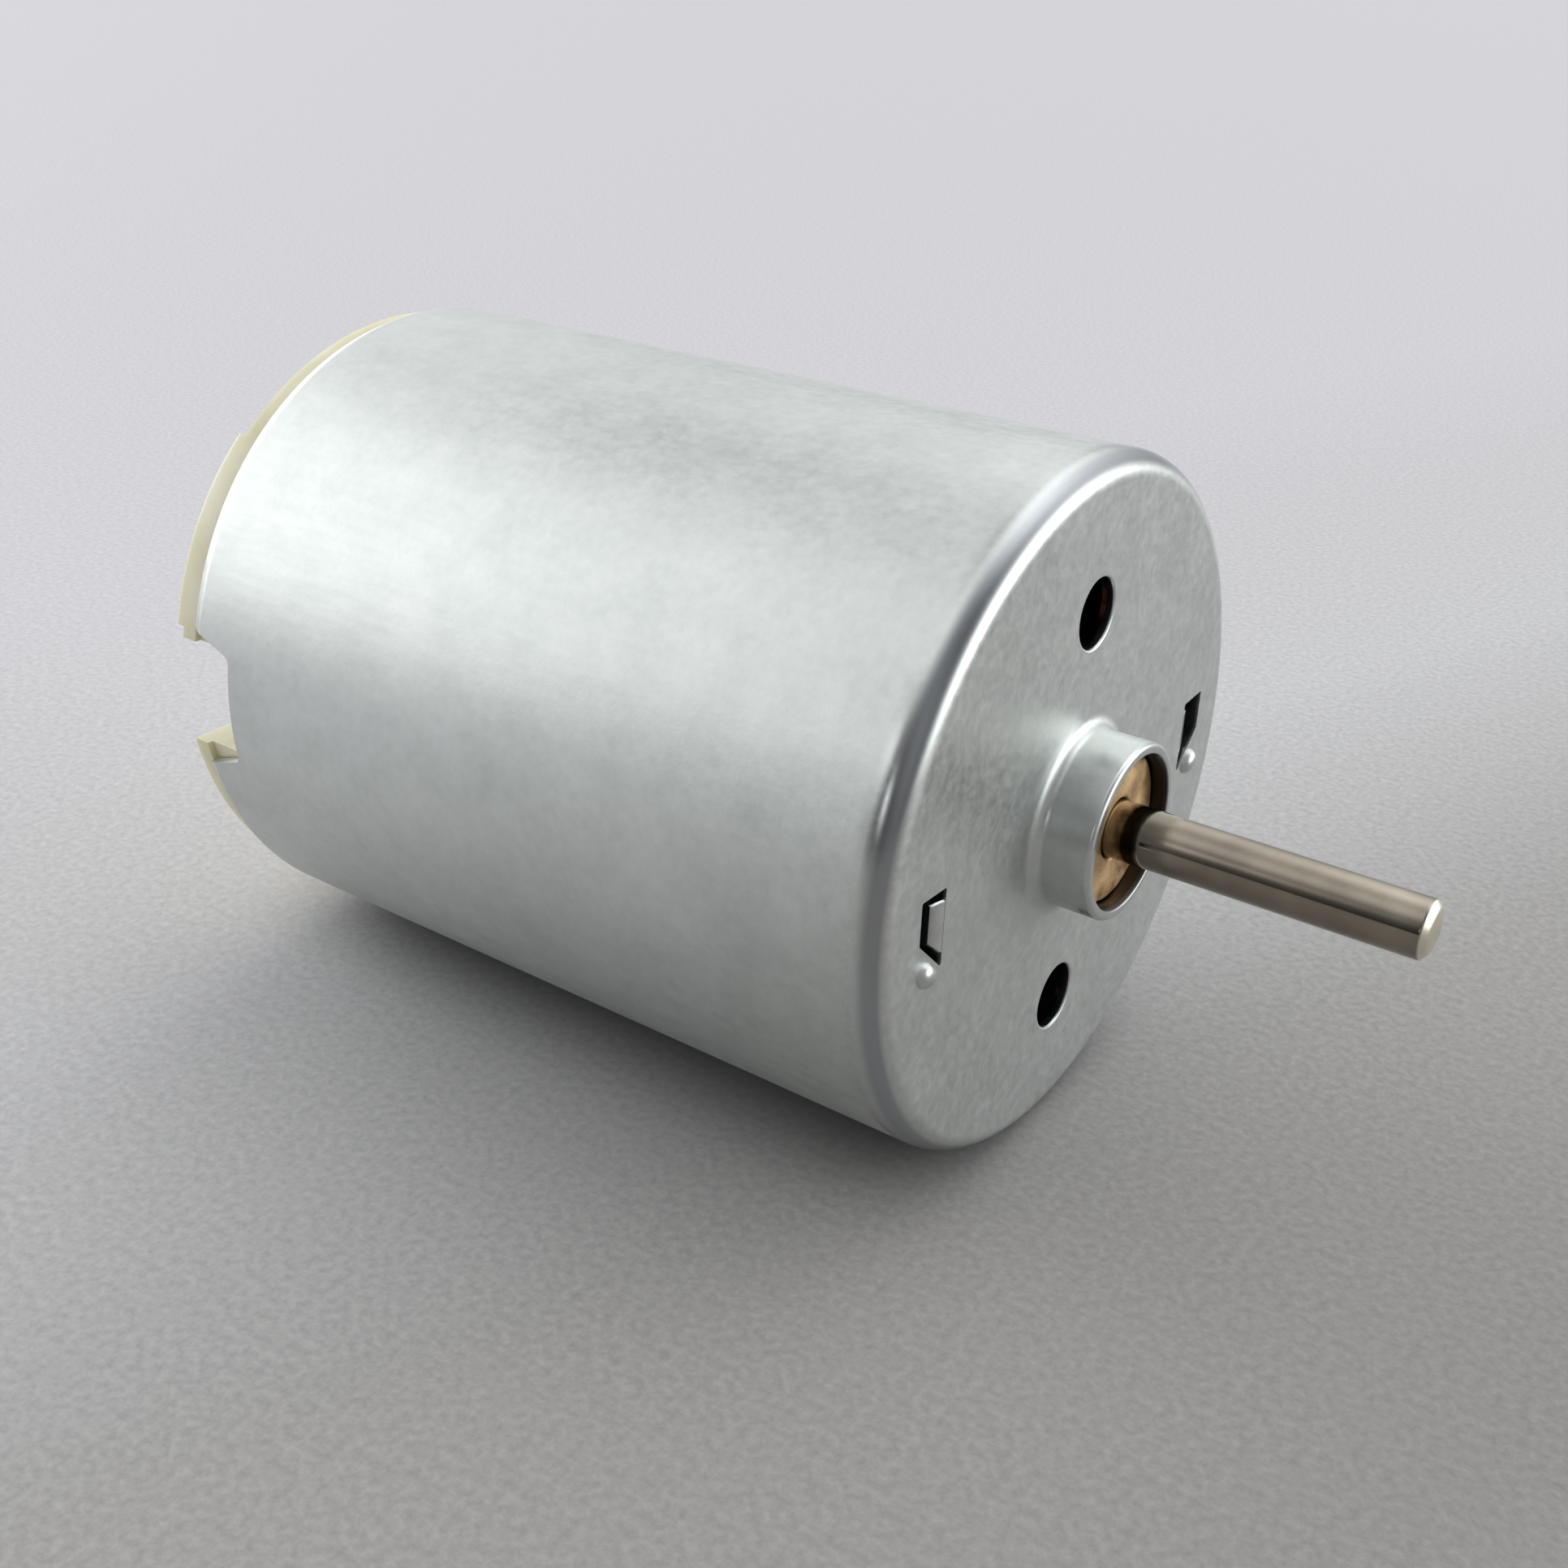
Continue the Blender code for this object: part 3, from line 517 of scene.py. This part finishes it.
def circle(centre, radius, steps):
    return [(centre[0] + radius * cos(2 * pi * k / steps), centre[1] + radius * sin(2 * pi * k / steps))
            for k in range(steps)]


def mirrored(outline, side):
    return [(side * a, b) for a, b in outline]


def to_object(mesh, name):
    bmesh.ops.recalc_face_normals(mesh, faces=mesh.faces)
    data = bpy.data.meshes.new(name)
    mesh.to_mesh(data)
    mesh.free()
    piece = bpy.data.objects.new(name, data)
    bpy.context.scene.collection.objects.link(piece)
    return piece


def applied(piece):
    """Applies the piece's modifiers to its mesh."""
    graph = bpy.context.evaluated_depsgraph_get()
    graph.update()
    data = bpy.data.meshes.new_from_object(piece.evaluated_get(graph))
    piece.modifiers.clear()
    piece.data = data


def combine(piece, tool, operation):
    """Cuts or joins with a tool object, which is then removed."""
    modifier = piece.modifiers.new(operation, "BOOLEAN")
    modifier.operation = operation
    modifier.solver = "EXACT"
    modifier.object = tool
    applied(piece)
    bpy.data.objects.remove(tool)


def dress(piece, surface, body, slot, *replaced, sharp=35):
    """Smooths the piece, gives it its material and puts it on its CAD body."""
    piece.data.shade_smooth()
    piece.data.set_sharp_from_angle(angle=radians(sharp))
    normals = piece.modifiers.new("normals", "WEIGHTED_NORMAL")
    normals.keep_sharp = True
    applied(piece)
    piece.data.materials.clear()
    piece.data.materials.append(surface)
    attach(piece, body)
    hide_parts(*replaced)


def build_can(surface):
    inner = CAN_RADIUS - CAN_WALL
    seat = BUSH_RADIUS + 0.04
    shoulder_steps = 14
    shoulder = []
    for step in range(shoulder_steps + 1):
        turn = pi / 2 * step / shoulder_steps
        shoulder.append((SHOULDER_LENGTH * (sin(turn) - 1), CAN_RADIUS + SHOULDER_DROP * (cos(turn) - 1)))
    flat = 0.06
    outline = rounded([
        (CAN_REAR, inner, 0.05),
        (CAN_REAR, CAN_RADIUS - 0.2, 0.12),
        (CAN_REAR + 0.45, CAN_RADIUS, 0.5),
        (-SHOULDER_LENGTH - flat, CAN_RADIUS),
        *shoulder,
        (0.0, CAN_RADIUS - SHOULDER_DROP - flat),
        (0.0, BOSS_RADIUS + 0.45 + flat),
        (0.0, BOSS_RADIUS, 0.45),
        (BOSS_HEIGHT, BOSS_RADIUS, 0.3),
        (BOSS_HEIGHT, LIP_RADIUS, 0.06),
        (BOSS_HEIGHT - 0.15, seat),
        (-CAN_WALL, seat, 0.1),
        (-CAN_WALL, inner, 0.5),
    ], 8)
    mesh = bmesh.new()
    lathe(mesh, outline, 256)
    can = to_object(mesh, "can_shell")

    tools = bmesh.new()
    lip = 0.07
    for side in (1, -1):
        centre = (0, side * HOLE_PITCH_RADIUS)
        prism(tools, None, [
            (-2.0, circle(centre, HOLE_RADIUS + 0.2, 64)),
            (-CAN_WALL, circle(centre, HOLE_RADIUS + 0.08, 64)),
            (-0.3, circle(centre, HOLE_RADIUS, 64)),
            (-lip, circle(centre, HOLE_RADIUS, 64)),
            (-0.3 * lip, circle(centre, HOLE_RADIUS + 0.3 * lip, 64)),
            (0.0, circle(centre, HOLE_RADIUS + lip, 64)),
            (1.0, circle(centre, HOLE_RADIUS + lip, 64)),
        ], "X")
        slot = rounded([(*corner, 0.07) for corner in SLOT], 3)
        prism(tools, mirrored(slot, side), [-2.0, 1.0], "X")
        end = CAN_REAR - 1.0
        slope = (NOTCH_REAR_HALF - NOTCH_FRONT_HALF) / (NOTCH_FRONT - CAN_REAR)
        half = NOTCH_REAR_HALF + slope
        notch = rounded([
            (NOTCH_FRONT, -NOTCH_FRONT_HALF, 0.35),
            (NOTCH_FRONT, NOTCH_FRONT_HALF, 0.35),
            (end, half),
            (end, -half),
        ], 5)
        prism(tools, notch, [side * y for y in NOTCH_CUT_Y], "Y")
    combine(can, to_object(tools, "can_tools"), "DIFFERENCE")

    additions = bmesh.new()
    for side in (1, -1):
        add_tongue(additions, side)
        add_burr(additions, side)
    combine(can, to_object(additions, "can_additions"), "UNION")
    dress(can, surface, "stator", "zinc_steel", "housing_can", sharp=20)


def add_tongue(mesh, side):
    """The tongue that is lanced from the slot and pressed in a little, bent at its inner edge."""
    root = SLOT[0][0]
    stations = [(-0.3, 0.0), (-0.08, 0.0), (0.06, -0.02)]
    for part in (0.3, 0.6, 0.9, 1.0):
        along = TONGUE_LENGTH * part
        stations.append((along * cos(TONGUE_ANGLE), -0.02 - along * sin(TONGUE_ANGLE)))
    loops = []
    for index, (out, x) in enumerate(stations):
        low = TONGUE_LOW + 0.9 * max(out, 0)
        high = TONGUE_HIGH
        front = x - 0.03 if index == len(stations) - 1 else x - 0.004
        back = x - CAN_WALL + 0.06
        y = side * (root + out)
        loops.append([(front, y, low + 0.05), (front - 0.05, y, low), (back, y, low),
                      (back, y, high), (front - 0.05, y, high), (front, y, high - 0.05)])
    loft(mesh, loops)


def add_burr(mesh, side):
    """The small mound of metal pushed up beside the slot's sloping end."""
    steps = 28
    centre_y, centre_z = 9.42, -1.6
    length, width = 0.5, 0.42
    turn = atan2(SLOT[1][1] - SLOT[0][1], SLOT[1][0] - SLOT[0][0])
    loops = []
    for size, rise in ((1.0, -0.2), (1.0, -0.01), (0.97, 0.06), (0.88, 0.14), (0.74, 0.21), (0.55, 0.265),
                       (0.3, 0.3), (0.06, 0.31)):
        loop = []
        for step in range(steps):
            along, over = polar(size, 2 * pi * step / steps)
            along, over = along * length, over * width
            y = centre_y + along * cos(turn) - over * sin(turn)
            z = centre_z + along * sin(turn) + over * cos(turn)
            loop.append((rise, side * y, z))
        loops.append(loop)
    loft(mesh, loops)


def build_shaft(surface):
    outline = rounded([
        (SHAFT_REAR, 0.0),
        (SHAFT_REAR, SHAFT_RADIUS, 0.2),
        (SHAFT_TIP - 0.36, SHAFT_RADIUS, 0.12),
        (SHAFT_TIP - 0.15, 0.76, 0.3),
        (SHAFT_TIP, 0.0),
    ], 6)
    mesh = bmesh.new()
    lathe(mesh, outline, 96)
    dress(to_object(mesh, "shaft_rod"), surface, "rotor", "ground_steel", "shaft")


def build_bell(surface):
    """The moulded end: spigot inside the can, stepped rim, recessed back, boss and wells."""
    seat = BUSH_RADIUS + 0.05
    outline = rounded([
        (BELL_FRONT, SPIGOT_INNER, 0.15),
        (BELL_FRONT, SPIGOT_RADIUS, 0.3),
        (FLANGE_FRONT, SPIGOT_RADIUS),
        (FLANGE_FRONT, FLANGE_RADIUS, 0.06),
        (RIM_HIGH, FLANGE_RADIUS, 0.2),
        (RIM_HIGH, RIM_INNER + 0.3, 0.25),
        (BELL_FLOOR, RIM_INNER, 0.3),
        (BELL_FLOOR, RIM_INNER - 0.4),
        (BELL_FLOOR, REAR_BOSS_RADIUS + 0.65),
        (BELL_FLOOR, REAR_BOSS_RADIUS + 0.15, 0.4),
        (REAR_BOSS_END, REAR_BOSS_RADIUS - 0.05, 0.3),
        (REAR_BOSS_END, 1.5, 0.15),
        (REAR_BOSS_END + 0.25, 1.35, 0.15),
        (REAR_BOSS_END + 0.25, 0.0),
        (SHAFT_REAR - 0.3, 0.0),
        (SHAFT_REAR - 0.3, SHAFT_WELL_RADIUS),
        (REAR_SEAT[0], SHAFT_WELL_RADIUS),
        (REAR_SEAT[0], seat),
        (REAR_SEAT[1], seat),
        (REAR_SEAT[1], seat + 1.1),
        (BELL_WALL, seat + 1.3, 0.2),
        (BELL_WALL, SPIGOT_INNER, 0.3),
    ], 5)
    mesh = bmesh.new()
    lathe(mesh, outline, 192)
    bell = to_object(mesh, "bell_moulding")

    additions = bmesh.new()
    for angle in RIB_ANGLES:
        loops = []
        for radius in (REAR_BOSS_RADIUS - 0.3, RIM_INNER + 0.1):
            middle = Vector(polar(radius, angle))
            side = Vector(polar(RIB_HALF, angle + pi / 2))
            top = BELL_FLOOR - RIB_HEIGHT
            loops.append([(BELL_FLOOR + 0.3, *(middle - side)), (BELL_FLOOR, *(middle - side)),
                          (top + 0.12, *(middle - side * 0.75)), (top, *(middle - side * 0.5)),
                          (top, *(middle + side * 0.5)), (top + 0.12, *(middle + side * 0.75)),
                          (BELL_FLOOR, *(middle + side)), (BELL_FLOOR + 0.3, *(middle + side))])
        loft(additions, loops)
    combine(bell, to_object(additions, "bell_additions"), "UNION")

    posts = bmesh.new()
    for side in (1, -1):
        (near, far), (low, high) = POST_Y, POST_Z
        post = rounded([(side * y, side * z, 0.2) for y, z in
                        ((near, low), (far, low), (far, high), (near, high))], 3)
        prism(posts, post, [BELL_WALL - 0.5, POST_FRONT], "X")
        finger = rounded([
            (BELL_FRONT - 0.8, SPIGOT_INNER + 0.1),
            (BELL_FRONT - 0.8, SPIGOT_RADIUS - 0.1),
            (FINGER_FRONT - 0.5, SPIGOT_RADIUS - 0.1, 0.2),
            (FINGER_FRONT, SPIGOT_INNER + 0.5, 0.15),
            (FINGER_FRONT, SPIGOT_INNER + 0.1, 0.1),
        ], 3)
        lathe(posts, finger, 24, start=-side * pi / 2 - FINGER_HALF_ANGLE, sweep=2 * FINGER_HALF_ANGLE)
    combine(bell, to_object(posts, "bell_posts"), "UNION")

    cuts = bmesh.new()
    beyond = REAR_BOSS_END - 1
    low_rim = [(RIM_LOW, RIM_INNER - 0.1), (RIM_LOW, FLANGE_RADIUS + 1), (beyond, FLANGE_RADIUS + 1),
               (beyond, RIM_INNER - 0.1)]
    for half_turn in (0, pi):
        lathe(cuts, low_rim, 60, start=RIM_LOW_START + half_turn, sweep=RIM_LOW_END - RIM_LOW_START)
    combine(bell, to_object(cuts, "bell_cuts"), "DIFFERENCE")

    openings = bmesh.new()
    for side in (1, -1):
        vent = rounded([
            (beyond, -NOTCH_FRONT_HALF),
            (NOTCH_FRONT, -NOTCH_FRONT_HALF, 0.3),
            (NOTCH_FRONT, NOTCH_FRONT_HALF, 0.3),
            (beyond, NOTCH_FRONT_HALF),
        ], 4)
        prism(openings, vent, [side * VENT_INNER_Y, side * (CAN_RADIUS + 2)], "Y")
        half_width = TERMINAL_HALF_WIDTH + WELL_CLEARANCE
        low, high = TERMINAL_Z[0] - WELL_CLEARANCE, TERMINAL_Z[1] + WELL_CLEARANCE
        well = rounded([(-half_width, side * low), (half_width, side * low),
                        (half_width, side * high), (-half_width, side * high)])
        mouth = [(y * 1.3, z + side * 0.22 * (1 if abs(z) > TERMINAL_MIDDLE_Z else -1)) for y, z in well]
        prism(openings, None, [(BELL_WALL + 1, well), (BELL_FLOOR + 0.25, well), (BELL_FLOOR, mouth),
                               (BELL_FLOOR - 1, mouth)], "X")
        for centre in ((-EJECTOR_Y, side * EJECTOR_Z), (EJECTOR_Y, side * EJECTOR_Z)):
            prism(openings, None, [(BELL_FLOOR + 0.12, circle(centre, EJECTOR_RADII[0], 32)),
                                   (BELL_FLOOR - 0.2, circle(centre, EJECTOR_RADII[1], 32))], "X")
    combine(bell, to_object(openings, "bell_openings"), "DIFFERENCE")
    dress(bell, surface, "stator", "cream_nylon", "end_bell", sharp=30)


def build_bush(name, node, front, rear, surface):
    outline = rounded([
        (front, BUSH_BORE, 0.12),
        (front, BUSH_RADIUS, 0.12),
        (rear, BUSH_RADIUS, 0.12),
        (rear, BUSH_BORE, 0.12),
    ], 4)
    mesh = bmesh.new()
    lathe(mesh, outline, 96)
    dress(to_object(mesh, name), surface, "stator", "oiled_bronze", node)


def build_terminals(surface):
    """Stamped blades with softened edges, a wire hole and a foot inside the bell."""
    half = TERMINAL_HALF_WIDTH
    end = TERMINAL_END
    corner = TERMINAL_CORNER
    outline = rounded([
        (TERMINAL_FOOT[1], -half, 0.15),
        (TERMINAL_FOOT[1], TERMINAL_FOOT_Y, 0.1),
        (TERMINAL_FOOT[0], TERMINAL_FOOT_Y, 0.1),
        (TERMINAL_FOOT[0], half, 0.1),
        (end + corner, half, 0.25),
        (end, half - corner, 0.25),
        (end, corner - half, 0.25),
        (end + corner, -half, 0.25),
    ], 4)
    edge = 0.07
    low, high = TERMINAL_Z
    for name, side in (("terminal_top", 1), ("terminal_bottom", -1)):
        mesh = bmesh.new()
        inside = inset(outline, edge)
        levels = [(low, inside), (low + edge * 0.3, inset(outline, edge * 0.3)), (low + edge, outline),
                  (high - edge, outline), (high - edge * 0.3, inset(outline, edge * 0.3)), (high, inside)]
        turned = [(side * z, [(x, side * y) for x, y in shape]) for z, shape in levels]
        prism(mesh, None, turned, "Z")
        blade = to_object(mesh, name.replace("terminal", "blade"))
        punch = bmesh.new()
        centre = (TERMINAL_HOLE_X, 0)
        wide = circle(centre, TERMINAL_HOLE_RADIUS + 0.06, 40)
        bore = circle(centre, TERMINAL_HOLE_RADIUS, 40)
        punched = [(low - 1, wide), (low, wide), (low + 0.06, bore),
                   (high - 0.06, bore), (high, wide), (high + 1, wide)]
        prism(punch, None, [(side * z, shape) for z, shape in punched], "Z")
        combine(blade, to_object(punch, "punch"), "DIFFERENCE")
        dress(blade, surface, "stator", "tinned_brass", name, sharp=40)


def inset(outline, distance):
    """Moves a closed outline inwards along its corner directions."""
    points = [Vector(point) for point in outline]
    area = sum(a.x * b.y - b.x * a.y for a, b in zip(points, points[1:] + points[:1]))
    inward = 1 if area > 0 else -1
    moved = []
    for index, point in enumerate(points):
        before = (point - points[index - 1]).normalized()
        after = (points[(index + 1) % len(points)] - point).normalized()
        normal = Vector((-(before.y + after.y), before.x + after.x)).normalized() * inward
        square = max(normal.dot(Vector((-before.y, before.x)) * inward), 0.5)
        moved.append(tuple(point + normal * (distance / square)))
    return moved


# The direction on the floor in which its painted light falloff gets lighter
FLOOR_LIGHT_FALLOFF = (-0.93, 0.37, 0)


def build_floor():
    surface, shader = new_material("pale_floor", Roughness=0.75, Specular_IOR_Level=0.3)
    place = object_coordinates(surface)
    grain = noise(surface, place, 0.34, 4, 0.62)
    # painted light: the floor's colour runs from dark to pale along this direction, standing in for the
    # falloff of the studio light
    away = add(surface, "VectorMath", {0: place, 1: FLOOR_LIGHT_FALLOFF},
               operation="DOT_PRODUCT").outputs["Value"]
    tone = ramp(surface, spread(surface, away, -0.04, 0.06, 0, 1),
                (0.1, (0.285, 0.272, 0.264)), (0.3, (0.34, 0.332, 0.325)), (0.4, (0.425, 0.42, 0.42)),
                (0.53, (0.515, 0.512, 0.52)), (0.75, (0.53, 0.522, 0.54)), (1.0, (0.555, 0.545, 0.57)))
    colour = mixed(surface, 0.36, tone, ramp(surface, grain, (0.3, (0.3, 0.3, 0.3)), (0.7, (0.7, 0.7, 0.7))),
                   "OVERLAY")
    # painted shadow: a near-black strip on the floor under the can, standing in for its contact shadow
    axes = add(surface, "SeparateXYZ", {0: place}).outputs
    across = maths(surface, "ABSOLUTE", axes[1])
    painted_contact_shadow = maths(surface, "MULTIPLY", eased(surface, across, 0.002, 0.010, 1, 0),
                  maths(surface, "MULTIPLY", eased(surface, axes[0], 0.007, 0.012, 1, 0),
                        eased(surface, axes[0], -0.025, -0.017, 0, 1)))
    colour = mixed(surface, painted_contact_shadow, colour, (0.1, 0.098, 0.098))
    connect(surface, shader, Base_Color=colour)
    bumps(surface, shader, (grain, 0.01))
    mesh = bmesh.new()
    bmesh.ops.create_grid(mesh, x_segments=1, y_segments=1, size=8.0)
    floor = to_object(mesh, "floor")
    floor.data.materials.append(surface)


def towards(azimuth, elevation):
    flat = cos(radians(elevation))
    return Vector((flat * cos(radians(azimuth)), flat * sin(radians(azimuth)), sin(radians(elevation))))


def build_world(colour, base, glows):
    """A studio surround: an even base with soft glows, each (azimuth, elevation, sharpness, strength)."""
    world = bpy.data.worlds.new("studio")
    bpy.context.scene.world = world
    world.use_nodes = True
    direction = add(world, "TexCoord").outputs["Generated"]
    total = base
    for azimuth, elevation, sharpness, strength in glows:
        facing = add(world, "VectorMath", {0: direction, 1: towards(azimuth, elevation)},
                     operation="DOT_PRODUCT").outputs["Value"]
        glow = maths(world, "POWER", maths(world, "MAXIMUM", facing, 0.0), sharpness)
        total = maths(world, "ADD", maths(world, "MULTIPLY", glow, strength), total)
    sky = world.node_tree.nodes["Background"]
    sky.inputs["Color"].default_value = (*colour, 1)
    world.node_tree.links.new(total, sky.inputs["Strength"])


def soften(surface, body, slot, edge_mm, *names):
    """Stands in for CAD nodes with the same forms, their hard edges broken by a small bevel."""
    for name in names:
        node = frame["nodes"][name]
        mesh = bmesh.new()
        mesh.from_mesh(node.data)
        mesh.transform(node.matrix_world)
        bmesh.ops.remove_doubles(mesh, verts=mesh.verts, dist=0.0005 * MM)
        bmesh.ops.dissolve_limit(mesh, angle_limit=radians(0.5), verts=mesh.verts, edges=mesh.edges)
        piece = to_object(mesh, name + "_form")
        bevel = piece.modifiers.new("edges", "BEVEL")
        bevel.width = edge_mm * MM
        bevel.segments = 2
        bevel.limit_method = "ANGLE"
        bevel.angle_limit = radians(40)
        applied(piece)
        dress(piece, surface, body, slot, name)


# The studio's soft glows: (azimuth, elevation) in degrees, sharpness, strength
GLOWS = [
    (165, 8, 10, 3.1), (-165, 8, 10, 2.8), (75, 64, 10, 2.0), (18, 8, 12, 3.1), (45, 8, 10, 3.5),
    (105, 36, 10, 1.1), (-130, 16, 22, 0.7), (-45, 8, 10, 0.15), (-165, 36, 10, 0.7), (-135, 64, 10, 0.6),
    (-105, 64, 10, 0.45), (-45, 36, 10, 0.3), (105, 8, 10, 0.3),
    (-117, 28, 90, 1.0), (-88, 16, 200, 2.6),
]

add_camera()
bpy.context.scene.view_settings.view_transform = "Standard"
build_floor()
build_world((0.98, 0.99, 1.0), 0.04, GLOWS)

build_can(zinc_material())
build_shaft(shaft_material())
bronze = bronze_material()
build_bush("bush_front", "front_bearing", *FRONT_BUSH, bronze)
build_bush("bush_rear", "rear_bearing", *REAR_BUSH, bronze)
build_bell(nylon_material())
build_terminals(plated_material("tinned_terminal", (0.66, 0.6, 0.46), (0.76, 0.71, 0.57),
                                0.26, 0.3, (0.2, 1, 1)))
soften(powder_material("ground_ferrite", (0.03, 0.03, 0.033), (0.075, 0.075, 0.08), 0.7, 0.2, 0.006),
       "stator", "ferrite", 0.12, "magnet_left", "magnet_right")
soften(plated_material("rolled_spring_steel", (0.36, 0.36, 0.37), (0.5, 0.5, 0.52), 0.3),
       "stator", "spring_steel", 0.08, "magnet_clip")
soften(lamination_material(), "rotor", "lamination_steel", 0.05, "armature_core")
soften(powder_material("vulcanised_fibre", (0.32, 0.07, 0.04), (0.5, 0.14, 0.09), 0.65, 0.25, 0.006),
       "rotor", "red_fibre", 0.06, "insulator_front", "insulator_rear")
soften(winding_material(), "rotor", "enamelled_copper", 0.25, "coil_1", "coil_2", "coil_3")
soften(powder_material("moulded_phenolic", (0.06, 0.035, 0.02), (0.12, 0.07, 0.045), 0.45, 0.2, 0.004),
       "rotor", "phenolic", 0.06, "commutator_hub", "commutator_ring")
soften(plated_material("turned_copper", (0.66, 0.32, 0.18), (0.85, 0.47, 0.3), 0.24, 0.2, (1, 0.08, 0.08)),
       "rotor", "commutator_copper", 0.05,
       "commutator_segment_1", "commutator_segment_2", "commutator_segment_3")
soften(powder_material("varistor_ceramic", (0.09, 0.10, 0.13), (0.16, 0.17, 0.2), 0.55, 0.2, 0.004),
       "rotor", "varistor_ceramic", 0.12, "varistor_ring")
soften(powder_material("washer_plastic", (0.74, 0.74, 0.7), (0.88, 0.88, 0.85), 0.45, 0.3, 0.003),
       "rotor", "washer_plastic", 0.05, "spacer_front", "thrust_washer_front", "thrust_washer_rear")
phosphor_bronze = plated_material("phosphor_bronze", (0.6, 0.36, 0.2), (0.76, 0.52, 0.33), 0.28)
graphite = powder_material("copper_graphite", (0.05, 0.035, 0.03), (0.17, 0.11, 0.08), 0.55, 0.12, 0.005)
rubber = powder_material("damping_rubber", (0.018, 0.018, 0.018), (0.04, 0.04, 0.04), 0.85, 0.25, 0.006)
for side in ("left", "right"):
    gear = "brush_gear_" + side
    soften(phosphor_bronze, gear, "phosphor_bronze", 0.04, "brush_arm_" + side)
    soften(graphite, gear, "copper_graphite", 0.06, "brush_" + side)
    soften(rubber, gear, "damping_rubber", 0.12, "brush_damper_" + side)
